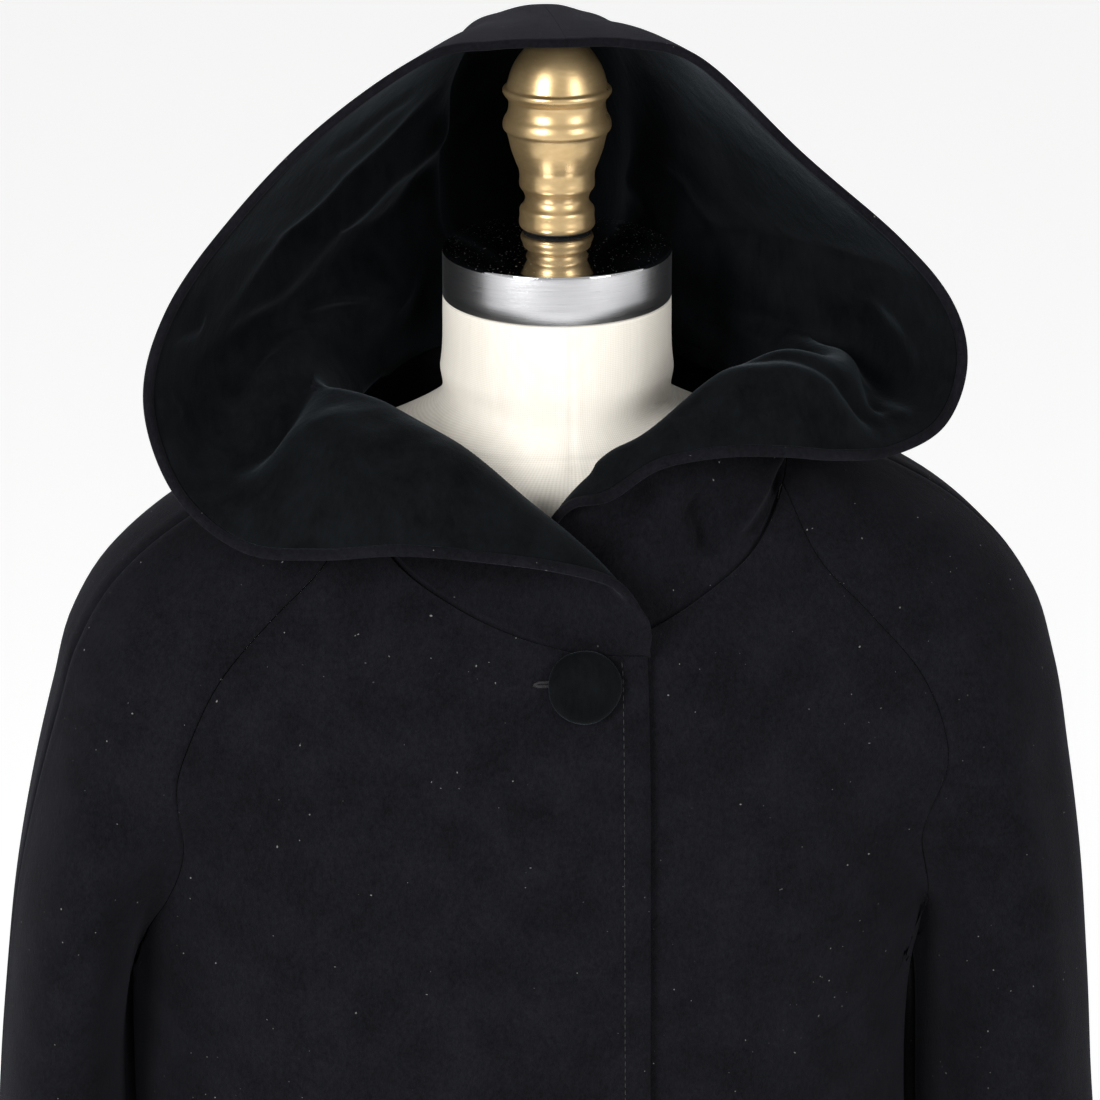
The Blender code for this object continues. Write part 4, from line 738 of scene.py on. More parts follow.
# ribs: distance along the neckline and back seam, face edge, turn, and each leg's swell to the wool side
hoodRibs = {
    "right": [
        (0.000, (0.0312, -0.1150, 1.3380), (0.0318, -0.1125, 1.3310), 0.000, 0.000),
        (0.012, (0.026, -0.121, 1.353), (0.024, -0.118, 1.345), 0.000, 0.000),
        (0.026, (0.012, -0.131, 1.369), (0.006, -0.114, 1.371), 0.000, 0.001),
        (0.042, (-0.015, -0.134, 1.379), (-0.005, -0.105, 1.381), -0.001, 0.003),
        (0.070, (-0.048, -0.131, 1.384), (-0.024, -0.089, 1.394), -0.003, 0.003),
        (0.108, (-0.090, -0.123, 1.386), (-0.056, -0.073, 1.421), -0.005, 0.002),
        (0.147, (-0.128, -0.111, 1.381), (-0.092, -0.057, 1.438), -0.006, 0.000),
        (0.186, (-0.163, -0.093, 1.380), (-0.121, -0.034, 1.442), -0.002, 0.000),
        (0.225, (-0.193, -0.073, 1.402), (-0.124, 0.000, 1.448), 0.014, 0.000),
        (0.270, (-0.206, -0.063, 1.445), (-0.108, 0.030, 1.458), 0.012, 0.002),
        (0.330, (-0.1945, -0.060, 1.488), (-0.075, 0.058, 1.475), 0.004, 0.004),
        (0.420, (-0.163, -0.057, 1.531), (-0.061, 0.072, 1.503), 0.000, 0.010),
        (0.520, (-0.120, -0.053, 1.573), (-0.056, 0.052, 1.560), 0.000, 0.010),
        (0.610, (-0.069, -0.047, 1.6055), (-0.042, 0.020, 1.6000), 0.000, 0.006),
        (0.665, (-0.035, -0.041, 1.6095), (-0.021, 0.011, 1.6078), 0.000, 0.001),
        (0.705, (0.000, -0.036, 1.6085), (0.000, 0.006, 1.6085), 0.000, 0.000)],
    "left": [
        (0.000, (-0.0310, -0.0965, 1.338), (-0.0310, -0.0985, 1.3310), 0.000, 0.000),
        (0.012, (-0.0270, -0.0905, 1.353), (-0.0262, -0.0920, 1.346), 0.000, 0.000),
        (0.026, (-0.0205, -0.0860, 1.3745), (-0.0200, -0.0860, 1.366), 0.000, 0.000),
        (0.044, (-0.0065, -0.0940, 1.3955), (-0.006, -0.0830, 1.391), 0.000, 0.001),
        (0.066, (0.012, -0.107, 1.4035), (0.011, -0.086, 1.410), 0.000, 0.003),
        (0.092, (0.036, -0.106, 1.418), (0.040, -0.081, 1.428), -0.001, 0.004),
        (0.124, (0.066, -0.107, 1.423), (0.073, -0.064, 1.445), -0.003, 0.004),
        (0.156, (0.096, -0.101, 1.420), (0.106, -0.046, 1.452), -0.004, 0.002),
        (0.188, (0.126, -0.090, 1.413), (0.132, -0.035, 1.447), -0.002, 0.000),
        (0.216, (0.156, -0.075, 1.409), (0.1395, -0.012, 1.4440), 0.005, 0.000),
        (0.244, (0.1855, -0.060, 1.418), (0.131, 0.011, 1.4455), 0.013, 0.000),
        (0.282, (0.1975, -0.052, 1.446), (0.110, 0.030, 1.452), 0.010, 0.002),
        (0.340, (0.1895, -0.050, 1.477), (0.073, 0.057, 1.473), 0.003, 0.004),
        (0.425, (0.1620, -0.050, 1.510), (0.060, 0.072, 1.501), 0.000, 0.010),
        (0.520, (0.114, -0.049, 1.552), (0.056, 0.052, 1.558), 0.000, 0.010),
        (0.610, (0.064, -0.046, 1.5995), (0.040, 0.020, 1.5985), 0.000, 0.006),
        (0.665, (0.031, -0.041, 1.6085), (0.019, 0.011, 1.6075), 0.000, 0.001),
        (0.705, (0.000, -0.036, 1.6085), (0.000, 0.006, 1.6085), 0.000, 0.000)]}

# folds of the hood: height to the velvet side, width, sharpness, and places (share along, share in)
hoodFolds = {
    "right": [
        (0.0045, 0.0110, 0.15, [(0.86, 0.86), (0.84, 0.84), (0.815, 0.80)]),
        (0.0050, 0.0090, 0.20, [(0.855, 0.62), (0.80, 0.54), (0.757, 0.46), (0.717, 0.38), (0.681, 0.32),
                                (0.649, 0.30), (0.621, 0.28), (0.600, 0.20)]),
        (-0.0040, 0.0080, 0.10, [(0.83, 0.42), (0.775, 0.37), (0.735, 0.31), (0.695, 0.25), (0.660, 0.22),
                                 (0.630, 0.17)]),
        (-0.0045, 0.0100, 0.10, [(0.78, 0.62), (0.735, 0.55), (0.700, 0.50), (0.668, 0.44), (0.650, 0.38)]),
        (0.0040, 0.0090, 0.20, [(0.845, 0.93), (0.815, 0.90), (0.800, 0.88), (0.778, 0.85)]),
        (0.0085, 0.0062, 0.30, [(0.655, 0.29), (0.632, 0.36), (0.618, 0.42), (0.625, 0.47), (0.640, 0.56),
                                (0.645, 0.64)]),
        (-0.0080, 0.0075, 0.20, [(0.640, 0.24), (0.612, 0.34), (0.600, 0.42), (0.606, 0.50), (0.622, 0.60)]),
        (0.0150, 0.0180, 0.00, [(0.690, 0.76), (0.655, 0.74), (0.614, 0.72), (0.572, 0.66), (0.545, 0.56),
                                (0.535, 0.44), (0.532, 0.28), (0.533, 0.10)]),
        (-0.0150, 0.0140, 0.10, [(0.625, 0.80), (0.580, 0.74), (0.535, 0.66), (0.502, 0.57), (0.488, 0.46),
                                 (0.492, 0.34), (0.497, 0.22), (0.500, 0.12)]),
        (-0.0045, 0.0080, 0.20, [(0.580, 0.52), (0.568, 0.40), (0.566, 0.28), (0.575, 0.16)]),
        (0.0024, 0.0050, 0.20, [(0.652, 0.02), (0.650, 0.06), (0.646, 0.13)]),
        (0.0024, 0.0045, 0.20, [(0.604, 0.03), (0.588, 0.07), (0.570, 0.12)]),
        (0.0022, 0.0045, 0.20, [(0.573, 0.03), (0.557, 0.07), (0.540, 0.11)]),
        (0.0018, 0.0060, 0.10, [(0.81, 0.34), (0.80, 0.24), (0.782, 0.19), (0.772, 0.12)]),
        (0.0030, 0.0120, 0.00, [(0.441, 0.50), (0.404, 0.34), (0.386, 0.20), (0.383, 0.09)]),
        (-0.0028, 0.0110, 0.00, [(0.405, 0.48), (0.360, 0.30), (0.345, 0.16)]),
        (0.0026, 0.0100, 0.00, [(0.351, 0.36), (0.328, 0.24), (0.298, 0.16)])],
    "left": [
        (0.0050, 0.0100, 0.20, [(0.80, 0.64), (0.775, 0.61), (0.745, 0.585), (0.715, 0.59), (0.690, 0.63)]),
        (-0.0045, 0.0090, 0.20, [(0.79, 0.56), (0.762, 0.53), (0.735, 0.51), (0.700, 0.53), (0.672, 0.60)]),
        (0.0045, 0.0090, 0.20, [(0.690, 0.86), (0.669, 0.90), (0.650, 0.93)]),
        (0.0040, 0.0060, 0.25, [(0.664, 0.78), (0.645, 0.80), (0.622, 0.80), (0.600, 0.76)]),
        (-0.0050, 0.0070, 0.30, [(0.655, 0.70), (0.625, 0.64), (0.600, 0.56), (0.588, 0.46), (0.590, 0.36)]),
        (0.0024, 0.0130, 0.00, [(0.700, 0.14), (0.676, 0.15), (0.655, 0.14), (0.648, 0.08)]),
        (-0.0035, 0.0080, 0.15, [(0.690, 0.24), (0.660, 0.24), (0.628, 0.22), (0.615, 0.14)]),
        (0.0034, 0.0075, 0.10, [(0.350, 0.17), (0.363, 0.19), (0.380, 0.20), (0.402, 0.21), (0.422, 0.235),
                                (0.437, 0.24), (0.446, 0.20), (0.455, 0.17), (0.480, 0.13), (0.522, 0.08)]),
        (-0.0048, 0.0055, 0.25, [(0.355, 0.28), (0.380, 0.29), (0.410, 0.30), (0.440, 0.31), (0.470, 0.26),
                                 (0.500, 0.18), (0.535, 0.12)]),
        (0.0042, 0.0065, 0.20, [(0.590, 0.40), (0.577, 0.28), (0.561, 0.20), (0.559, 0.13), (0.560, 0.07)]),
        (-0.0034, 0.0070, 0.10, [(0.550, 0.36), (0.535, 0.26), (0.530, 0.18)]),
        (0.0026, 0.0100, 0.00, [(0.260, 0.30), (0.250, 0.18), (0.235, 0.10)]),
        (-0.0140, 0.0065, 0.45, [(0.420, 0.80), (0.385, 0.82), (0.352, 0.86), (0.325, 0.90)]),
        (0.0060, 0.0070, 0.30, [(0.445, 0.88), (0.418, 0.92), (0.396, 0.95)]),
        (0.0120, 0.0070, 0.45, [(0.300, 0.58), (0.312, 0.70), (0.318, 0.82), (0.322, 0.92)]),
        (0.0060, 0.0100, 0.20, [(0.283, 0.44), (0.262, 0.45), (0.238, 0.48), (0.212, 0.52), (0.203, 0.60)])]}


# The neckline moved in to sit against the wool, and on from the nape the seam up the back and over the crown.
def hoodSpine(side):
    neckline = lapped(necklines[side], "body", -sideSign[side])
    inward = -neckline * (1, 1, 0)
    inward[:, 1] += 0.01
    inward = unit(inward)
    seated = neckline + inward * (coat["wool"] + hood["seatGap"]) + (0, 0, hood["seatRise"])
    if side == "left":
        lap = 1 - smoothStep(coat["lapNear"], coat["lapFar"], np.abs(seated[:, 0]))
        seated = seated + inward * hood["leftSeatGap"] * lap[:, None]
    seam = curveThrough(np.vstack([seated[-1], [(0, y, z) for y, z in backSeam]]))
    return np.vstack([seated, seam[1:]])


spines = {side: hoodSpine(side) for side in necklines}


def cubic(t, start, startSlope, end, endSlope):     # the cubic from start to end that has these slopes there
    return ((2 * t**3 - 3 * t**2 + 1) * start + (t**3 - 2 * t**2 + t) * startSlope
            + (3 * t**2 - 2 * t**3) * end + (t**3 - t**2) * endSlope)


# A rib is a cubic from its face edge (v = 0) to its turn, and one more on to the spine (v = 1). Both have one
# slope at the turn. The swell is a height times sin^2 along each leg.
def hoodPoints(side, u, v):
    spine, lengths = spines[side], lengthsOf(spines[side])
    place, knots = u * (len(hoodRibs[side]) - 1), np.arange(len(hoodRibs[side]))
    distances, edges, turns, fallSwell, standSwell = (np.array(k) for k in zip(*hoodRibs[side]))
    edge = smoothRead(knots, edges, place, flatEnd=True)
    turn = smoothRead(knots, turns, place, flatEnd=True)
    distance = smoothRead(knots, distances, place)
    start = np.stack([np.interp(distance, lengths, spine[:, k]) for k in range(3)], -1)
    fallLength = np.linalg.norm(turn - edge, axis=-1, keepdims=True)
    standLength = np.linalg.norm(start - turn, axis=-1, keepdims=True)
    slope = (start - edge) / (fallLength + standLength)
    slope = slope * hood["roll"] / np.minimum(np.linalg.norm(slope, axis=-1, keepdims=True), hood["roll"])
    fallSlope = 1.5 * (turn - edge) / fallLength - 0.5 * slope
    standSlope = 1.5 * (start - turn) / standLength - 0.5 * slope
    pastNape = distance - lengths[len(necklines[side]) - 1]
    level = smoothStep(0, 0.05, pastNape)[..., None]
    standSlope = (1 - level) * standSlope + level * np.array([-sideSign[side], 0, 0])
    turnAt = np.clip(fallLength / (fallLength + standLength), 0.2, 0.6)[..., 0]
    falls = v < turnAt
    t = np.where(falls, v / turnAt, (v - turnAt) / (1 - turnAt))[..., None]
    fall = cubic(t, edge, fallLength * fallSlope, turn, fallLength * slope)
    stand = cubic(t, turn, standLength * slope, start, standLength * standSlope)
    swell = np.where(falls, smoothRead(knots, fallSwell, place), smoothRead(knots, standSwell, place))
    return np.where(falls[..., None], fall, stand), swell * np.sin(np.pi * t[..., 0])**2, pastNape


def facing(side, read, u, v, step):     # the wool side's direction: across the slopes along u and along v
    lowU, highU, lowV, highV = (np.clip(k, 0, 1) for k in (u - step, u + step, v - step, v + step))
    n = unit(np.cross(read(highU, v) - read(lowU, v), read(u, highV) - read(u, lowV)))
    return -sideSign[side] * n


# The swollen ribs and their direction, which turns upright where the stand meets the neckline, and has no
# part across the centre seam.
def hoodSurface(side, u, v):
    def swollen(u, v):      # the ribs' points, moved along their own direction by the swell
        base, height, _ = hoodPoints(side, u, v)
        return base + facing(side, lambda a, b: hoodPoints(side, a, b)[0], u, v, 4e-3) * height[..., None]

    normal = facing(side, swollen, u, v, 2e-3)
    pastNape = hoodPoints(side, u, v)[2]
    behind = pastNape > 0
    upright = smoothStep(0.5, 0.98, v) * (1 - smoothStep(0, 0.012, pastNape))
    normal[..., 2] += upright * np.maximum(-normal[..., 2], 0)
    normal[..., 0] *= 1 - smoothStep(0.90, 0.998, u)
    normal[..., 0] = np.where((u > 0.993) | ((v > 0.98) & behind), 0, normal[..., 0])
    return swollen(u, v), unit(normal), behind


def hoodFoldHeight(side, base, u, v):       # the folds' ridges, each only on its own leg of the rib
    total = np.zeros(u.shape)
    for fold in hoodFolds[side]:
        places = curveThrough(np.column_stack([fold[3], np.zeros(len(fold[3]))]), 6)[:, :2]
        line = hoodPoints(side, places[:, 0], places[:, 1])[0]
        gap, place = nearLine(base, line)
        steps = lengthsOf(line)
        foldV = np.interp(place, steps / steps[-1], places[:, 1])
        total += ridge(fold, gap, place, hood["foldEnds"]) * np.exp(-(((v - foldV) / hood["foldReach"])**4))
    return total


def tuckIn(side, middle, normal, tucked):       # the lowest rows go down behind the fronts, along the skin
    foot = ontoSkin(middle[-1], "body")
    out = skinNormal(foot, "body")
    down = -unit(np.array((0, 0, 1.0)) - out * out[:, 2:])
    foot = lapped(foot, "body", -sideSign[side])
    depth = hoodTuck["gap"] + hood["gap"] / 2 + 2 * coat["wool"]
    atShoulder = smoothStep(hoodTuck["shoulderFrom"], hoodTuck["shoulderFull"], np.abs(foot[:, 0]))
    reach = hoodTuck["down"] * (1 - hoodTuck["shoulderShare"] * atShoulder)
    for row, part in hoodTuck["rows"]:
        goal = foot + down * (reach * part)[:, None] - out * depth
        middle[row] += (goal - middle[row]) * tucked[:, None]
        normal[row] = unit(normal[row] + (out - normal[row]) * tucked[:, None])


# How far a layer's two faces lie from the middle surface. The wool's edge is a soft roll, a half circle over
# both layers, which ends where the velvet begins.
def layerFaces(layer, inFrom):
    rim, woolSide, velvetSide = hoodRim, hood["gap"] / 2 + coat["wool"], -hood["gap"] / 2 - coat["velvet"]
    if layer == "velvet":
        swell = rim["velvetSwell"] * np.exp(-(np.maximum(inFrom - rim["wool"], 0) / rim["velvetFade"])**2)
        return np.full(inFrom.shape, -hood["gap"] / 2), velvetSide + swell
    half = (woolSide - velvetSide + rim["thicker"]) / 2
    centre = (woolSide + velvetSide - rim["thicker"]) / 2
    circle = np.sqrt(np.clip(1 - (1 - np.clip(inFrom / rim["round"], 0, 1))**2, 0, 1))
    bulge = half * (circle * (1 - rim["flat"]) + rim["flat"])
    outside = centre + bulge + (woolSide - centre - half) * smoothStep(0.003, 0.006, inFrom)
    underVelvet = inFrom > rim["wool"] + 1e-6
    lip = centre - bulge + rim["thicker"] * (inFrom > rim["wool"] - 0.0005)
    return outside, np.where(underVelvet, hood["gap"] / 2, lip)


# Rows close together at the rim, then even ones, then those tucked in at the neckline. The folds move the
# middle surface along its normal.
def hoodMesh(side, layer):
    rim = hoodRim["wool"]
    woolRows = (*hoodRim["woolRows"], rim - 0.0004, rim, rim + 0.0005, hoodRim["end"])
    steps = woolRows if layer == "wool" else (rim + 0.0006, rim + 0.0012, hoodRim["end"])
    uLine = np.concatenate([np.linspace(0, 0.992, hood["columns"] - 2), [0.996, 1.0]])
    probe = np.stack([hoodPoints(side, uLine, np.full_like(uLine, k))[0] for k in (0.0, 0.04, 0.08)])
    perMetre = 0.08 / np.maximum(np.linalg.norm(np.diff(probe, axis=0), axis=-1).sum(0), 0.004)
    perMetre = np.minimum(perMetre, 0.24 / 0.0112)
    first = (hoodRim["end"] + 0.0015) * perMetre
    even = np.linspace(0, 1, hood["rows"])[:, None]
    tucked = 1 - smoothStep(-0.012, 0.0, hoodPoints(side, uLine, np.ones_like(uLine))[2])
    tail = 1 - (1 - tucked) * np.array((0.004, 0.002, 0.0))[:, None]
    v = np.vstack([np.outer(steps, perMetre), first + even * (0.992 - first), tail])
    u = np.broadcast_to(uLine, v.shape).copy()
    middle, normal, behind = hoodSurface(side, u, v)
    tuckIn(side, middle, normal, tucked)
    fade = smoothStep(0.0, 0.06, v) * (1 - smoothStep(0.97, 1.0, v))
    fade = fade * (1 - smoothStep(0.975, 1.0, u)) * smoothStep(0.0, 0.03, u)
    middle = middle - normal * (hoodFoldHeight(side, middle, u, v) * fade)[..., None]
    inFrom, sign, near = v / perMetre, sideSign[side], hood["seamGap"] / 2

    def clear(points):      # each half keeps to its own side of the centre seam
        own = points[..., 0] * sign
        onSeam = (u >= 1) | ((v >= 1) & behind)
        own = np.where(onSeam, near, np.where(behind, np.maximum(own, near), own))
        return np.concatenate([(own * sign)[..., None], points[..., 1:]], -1)

    outside, inside = (clear(middle + normal * offset[..., None]) for offset in layerFaces(layer, inFrom))
    return outside, inside, np.stack([distanceIn(middle, 1)[0], inFrom], -1), middle


for side in ("right", "left"):
    for layer, title, node, finish in (("wool", "hood", "hood_", wool),
                                       ("velvet", "hoodLining", "hood_lining_", velvet)):
        outside, inside, place, middle = hoodMesh(side, layer)
        piece = clothShell(title + side.capitalize(), outside, inside, place)
        settle(piece, finish, node + side, slot="black_" + layer)
        declareCut(piece, middle)
print("hood made")

# the button: sizes, how high its widest ring stands, and its slight unevenness as size, waves and turn
button = dict(radius=0.0180, height=0.0100, x=-0.001, z=1.311, raised=0.0012, rings=40, around=96,
              widestAt=0.22, footDrop=0.55, footDraw=0.10, overFoot=1.95,
              lumps=((0.012, 3, 0.7), (0.008, 5, 2.1)))


def ontoFront(x, z):        # along Y onto the skin, and out to the overlapping front
    points = np.stack([x, np.full_like(x, -0.12), z], -1)
    for _ in range(14):
        slope = skinSlope(points, "body")[..., 1]
        points = points - np.stack([0 * slope, skinDistance(points, "body") / slope, 0 * slope], -1)
    return lapped(points, "body", 1)


# A quarter turn of sine and cosine makes the dome, which goes on past its widest ring to a drawn-in foot.
def makeButton():
    b = button
    foot = ontoFront(np.array([b["x"]]), np.array([b["z"]]))[0]
    out = skinNormal(foot[None], "body")[0]
    side = unit(np.cross((0, 0, 1), out))
    up = np.cross(out, side)
    turn = np.linspace(0, 2 * np.pi, b["around"], endpoint=False)
    t = np.linspace(0, 1, b["rings"])[:, None]
    lean = t * b["overFoot"]
    past = np.maximum(lean - np.pi / 2, 0)
    radius = np.where(past > 0, 1 - b["footDraw"] * past**1.2, np.sin(lean))
    height = b["widestAt"] + (1 - b["widestAt"]) * np.cos(np.minimum(lean, np.pi / 2)) - b["footDrop"] * past
    lump = sum(size * np.sin(waves * turn + shift) for size, waves, shift in b["lumps"])
    radius = b["radius"] * radius * (1 + lump * smoothStep(0.2, 1, t))
    ring = np.cos(turn)[:, None] * side + np.sin(turn)[:, None] * up
    points = foot + out * b["raised"] + radius[..., None] * ring + (b["height"] * height)[..., None] * out
    piece = cappedTube("button", points[1:], points[0, 0], points[-1].mean(0))
    settle(piece, velvet, "button", slot="black_velvet")


makeButton()


# Each stitch is a short pod of rings along its way, thickness * sqrt(1 - t^2), closed at its two ends.
def stitchRow(name, centres, ways, outs, length, thickness):
    rings, sides = stitching["rings"], stitching["sides"]
    t = np.linspace(-1, 1, rings)[:, None, None]
    turn = np.linspace(0, 2 * np.pi, sides, endpoint=False)[:, None]
    thick = thickness * np.sqrt(np.clip(1.02 - t**2, 0.02, 1))
    centres, ways, outs, aside = (k[:, None, None] for k in (centres, ways, outs, unit(np.cross(ways, outs))))
    points = centres + ways * (t * length / 2) + (np.cos(turn) * aside + np.sin(turn) * outs) * thick
    index = np.arange(rings * sides).reshape(rings, sides)
    ahead = np.roll(index, -1, 1)
    quads = np.stack([index[:-1], ahead[:-1], ahead[1:], index[1:]], -1).reshape(-1, 4)
    fan = np.arange(1, sides - 1)
    ends = np.concatenate([np.stack([0 * fan, fan + 1, fan], -1),
                           np.stack([0 * fan, fan, fan + 1], -1) + (rings - 1) * sides])
    one = np.concatenate([quads[:, :3], quads[:, [0, 2, 3]], ends])
    faces = (one + (np.arange(len(centres)) * rings * sides)[:, None, None]).reshape(-1, 3)
    points = points.reshape(-1, 3)
    settle(meshFrom(name, points, outwards(points, faces)), thread, slot="black_wool")


def makeTopstitch():        # along the overlapping front's edge, a stitch at every pitch
    made, h = frontFaces["right"], stitching
    fromEdge = distanceIn(made, 1)[0]
    line = np.array([[np.interp(h["inset"], far, row[:, k]) for k in range(3)]
                     for far, row in zip(fromEdge, made)])
    steps = lengthsOf(line)
    at = np.arange(h["pitch"], steps[-1] - h["pitch"], h["pitch"])
    centres = along(line, at / steps[-1])
    outs = skinNormal(centres, "body")
    ways = unit(np.gradient(centres, axis=0))
    stitchRow("topstitch", centres + outs * h["raised"], ways, outs, h["length"], h["radius"])


buttonhole = dict(start=-0.0255, end=-0.0150, z=1.3125, slope=0.02, raised=0.0003, gap=0.00085,
                  closing=0.003, pitch=0.00052, thread=0.00033, bar=0.0021, way=(0.12, 0.0, 1.0))


def makeButtonhole():       # two rows of close stitches beside the slit, meeting at its far end
    h = buttonhole
    x = np.arange(h["start"], h["end"], h["pitch"])
    middle = h["z"] + (x - h["start"]) * h["slope"]
    spread = h["gap"] * smoothStep(0, h["closing"], x - h["start"])
    centres = ontoFront(np.concatenate([x, x]), np.concatenate([middle + spread, middle - spread]))
    outs = skinNormal(centres, "body")
    ways = np.repeat(unit(np.array([h["way"]])), len(centres), 0)
    stitchRow("buttonhole", centres + outs * h["raised"], ways, outs, h["bar"], h["thread"])


makeTopstitch()
makeButtonhole()
print("button, buttonhole and topstitch made")

# the dress form's rings, and the seams pressed into it
torso = table("height halfWidth front back", [
    (0.800, 0.160, -0.098, 0.112), (0.860, 0.168, -0.104, 0.120), (0.950, 0.156, -0.100, 0.110),
    (1.060, 0.124, -0.092, 0.082), (1.150, 0.134, -0.102, 0.086), (1.220, 0.148, -0.114, 0.092),
    (1.280, 0.158, -0.104, 0.094), (1.330, 0.1740, -0.088, 0.088), (1.358, 0.1880, -0.074, 0.080),
    (1.378, 0.1759, -0.068, 0.074), (1.394, 0.1379, -0.068, 0.068), (1.406, 0.0960, -0.064, 0.063),
    (1.420, 0.0630, -0.0590, 0.0590), (1.440, 0.0585, -0.0585, 0.0585), (1.4747, 0.0570, -0.0570, 0.0570)])
form = dict(low=0.800, fineFrom=1.32, top=1.4747, around=256, coarse=90, rings=220, squareness=0.3,
            seamDepth=0.0005, seamWidth=0.0009, seamPuff=0.4, neckSeam=1.4205, neckDip=0.012,
            neckDepth=0.0006, neckWidth=0.0010, wrap=0.0585)


# Rounded ovals, width * cos and depth * sin over (|cos|^n + |sin|^n)^(1 / n), with the dents of a front seam
# and a neck seam, each depth * e^-(distance / width)^2.
def makeForm():
    d = form
    z = np.concatenate([np.linspace(d["low"], d["fineFrom"], d["coarse"]),
                        np.linspace(d["fineFrom"], d["top"], d["rings"] - d["coarse"] + 1)[1:]])[:, None]
    turn = np.linspace(-np.pi, np.pi, d["around"], endpoint=False)
    width, front, back = (column(torso, k, z) for k in ("halfWidth", "front", "back"))
    square = 2 + d["squareness"] * smoothStep(1.42, 1.34, z)
    shape = (np.abs(np.cos(turn))**square + np.abs(np.sin(turn))**square)**(-1 / square)
    x = width * shape * np.cos(turn)
    y = (front + back) / 2 + (back - front) / 2 * shape * np.sin(turn)
    atSeam = np.abs(x) + 9 * (y > 0)
    puffed = d["seamPuff"] * np.exp(-((atSeam - 0.0035) / 0.002)**2)
    dent = d["seamDepth"] * (np.exp(-(atSeam / d["seamWidth"])**2) - puffed)
    neck = d["neckSeam"] - d["neckDip"] * smoothStep(0.0, 0.06, -y)
    dent = dent + d["neckDepth"] * np.exp(-((z - neck) / d["neckWidth"])**2) * (z > 1.38)
    pressed = 1 - dent / np.maximum(np.hypot(x, y), 0.02)
    points = np.stack([x * pressed, y * pressed, z + 0 * x], -1)
    uv = np.stack([turn * d["wrap"] + 0 * z, z + 0 * turn], -1).reshape(-1, 2)
    uv = np.concatenate([uv, np.zeros((2, 2))])
    piece = cappedTube("formBody", points, (0, 0, d["low"]), (0, 0, d["top"]), uv)
    settle(piece, linen, "form_body", slot="cream_linen")


makeForm()

# the neck cap: a low dome, a rounded rim and a straight side
cap = dict(radius=0.057, top=1.500, rise=0.0086, round=0.0013)
inner = cap["radius"] - cap["round"]
dome = [(share * inner, cap["top"] + cap["rise"] * (1 - share**2)) for share in np.linspace(0, 1, 40)]
rimCurve = [(inner + cap["round"] * np.sin(a), cap["top"] + cap["round"] * (np.cos(a) - 1))
            for a in np.linspace(0.1, np.pi / 2, 8)]
capSide = [(cap["radius"], 1.4835), (cap["radius"], 1.4757), (cap["radius"] - 0.0007, 1.4750), (0, 1.4750)]
settle(turnedShell("neckCap", dome + rimCurve + capSide, 192), steel, "neck_cap", slot="brushed_steel")

# profiles of radius and height
finialRings = [(0.0001, 1.6055), (0.0080, 1.6046), (0.0136, 1.6014), (0.0172, 1.5972), (0.0203, 1.5928),
               (0.0228, 1.5876), (0.0243, 1.5826), (0.0250, 1.5806), (0.0264, 1.5796), (0.0267, 1.5780),
               (0.0258, 1.5762), (0.0242, 1.5742), (0.0238, 1.5706), (0.0246, 1.5672), (0.0262, 1.5642),
               (0.0267, 1.5618), (0.0264, 1.5596), (0.0250, 1.5580), (0.0243, 1.5560), (0.0227, 1.5494),
               (0.0204, 1.5428), (0.0189, 1.5390), (0.0185, 1.5360), (0.0185, 1.5306), (0.0166, 1.5276),
               (0.0157, 1.5242), (0.0168, 1.5214), (0.0183, 1.5196), (0.0185, 1.5160), (0.0184, 1.5104),
               (0.0179, 1.5097)]
finialFine = curveThrough([(r, z, 0) for r, z in finialRings], 5)[:, :2]
finialProfile = [(0, 1.6055), *finialFine[1:], (0, 1.5097)]
settle(turnedShell("finial", finialProfile), gold, "finial", slot="gold_lacquer")
washerProfile = [(0, 1.5094), (0.0166, 1.5094), (0.0170, 1.5091), (0.0170, 1.5089), (0, 1.5089)]
settle(turnedShell("finialWasher", washerProfile, 96), rubber, "finial_washer", slot="black_rubber")
poleProfile = [(0, 0.7997), (0.0396, 0.7997), (0.0412, 0.7992), (0.042, 0.797), (0.042, 0.7877),
               (0.0405, 0.7855), (0.030, 0.7797), (0.025, 0.766), (0.022, 0.7497), (0.0175, 0.7445),
               (0.0165, 0.7437), (0.0165, 0.0715), (0.0172, 0.0700), (0.030, 0.064), (0.0385, 0.050),
               (0.0445, 0.0395), (0.045, 0.038), (0.045, 0.0303), (0, 0.0303)]
settle(turnedShell("standPole", poleProfile, 96), iron, "stand_pole", slot="painted_iron")
baseProfile = [(0, 0.030), (0.060, 0.030), (0.100, 0.0275), (0.150, 0.024), (0.205, 0.016), (0.214, 0.0138),
               (0.218, 0.012), (0.2196, 0.0098), (0.220, 0.008), (0.220, 0.003), (0.2192, 0.001),
               (0.217, 0.0), (0, 0.0)]
settle(turnedShell("standBase", baseProfile, 192), iron, "stand_base", slot="painted_iron")
print("form and stand made")

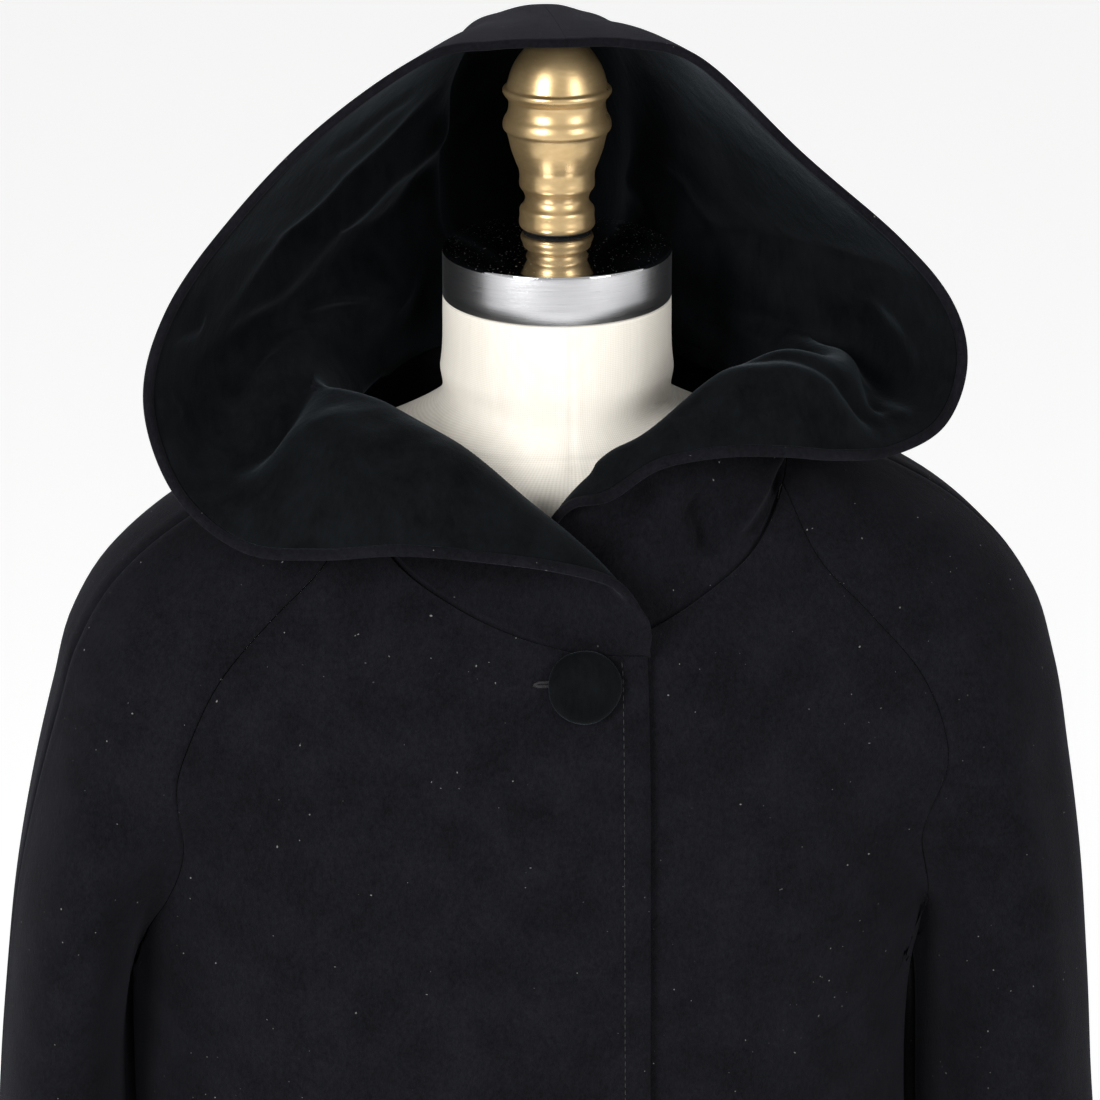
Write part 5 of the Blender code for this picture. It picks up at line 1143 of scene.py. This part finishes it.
# the floor, the soft light and the camera, which stands where the photograph's did
stage = dict(lens=111.77, cameraAt=(-0.19915, -1.62196, 1.96858), lookAt=(-0.0035, 0.0, 1.338), sky=0.56,
             floorHalf=30, floorHeight=-0.0005, floorTone=0.86, floorGlow=0.42, lightsAt=(0, 0, 1.35),
             lightSize=(0.9, 1.3))
softBoxes = {"leftBox": ((-1.6, -1.9, 2.3), 60), "rightBox": ((1.5, -2.0, 2.2), 24)}       # place and watts

corners = [(x * stage["floorHalf"], y * stage["floorHalf"], stage["floorHeight"])
           for x, y in ((-1, -1), (1, -1), (1, 1), (-1, 1))]
floorMesh = meshFrom("floor", np.array(corners, float), np.array([[0, 1, 2, 3]]))
floorMesh.data.materials.append(Look("paleFloor").finish(
    Base_Color=rgb(*[stage["floorTone"]] * 3), Roughness=0.9, Specular_IOR_Level=0.1,
    Emission_Color=rgb(1, 1, 1), Emission_Strength=stage["floorGlow"]))

world = bpy.data.worlds.new("softRoom")
world.use_nodes = True
world.node_tree.nodes["Background"].inputs["Color"].default_value = rgb(1, 1, 1)
world.node_tree.nodes["Background"].inputs["Strength"].default_value = stage["sky"]
bpy.context.scene.world = world
bpy.context.scene.view_settings.view_transform = "Standard"


def aimed(name, data, at, towards):     # an object at a place, its -Z towards the target and its X level
    piece = bpy.data.objects.new(name, data)
    bpy.context.scene.collection.objects.link(piece)
    away = unit(np.array(at, float) - towards)
    side = unit(np.cross((0, 0, 1), away))
    turn = np.column_stack([side, np.cross(away, side), away])
    piece.location, piece.rotation_mode = at, "QUATERNION"
    piece.rotation_quaternion = mathutils.Matrix(turn.tolist()).to_quaternion()
    return piece


for name, (place, watts) in softBoxes.items():
    lamp = bpy.data.lights.new(name, "AREA")
    lamp.shape, lamp.energy = "RECTANGLE", watts
    lamp.size, lamp.size_y = stage["lightSize"]
    aimed(name, lamp, place, stage["lightsAt"])

lens = bpy.data.cameras.new("view")
lens.lens, lens.sensor_width, lens.sensor_fit = stage["lens"], 36, "AUTO"
bpy.context.scene.camera = aimed("view", lens, stage["cameraAt"], stage["lookAt"])

print("scene finished")
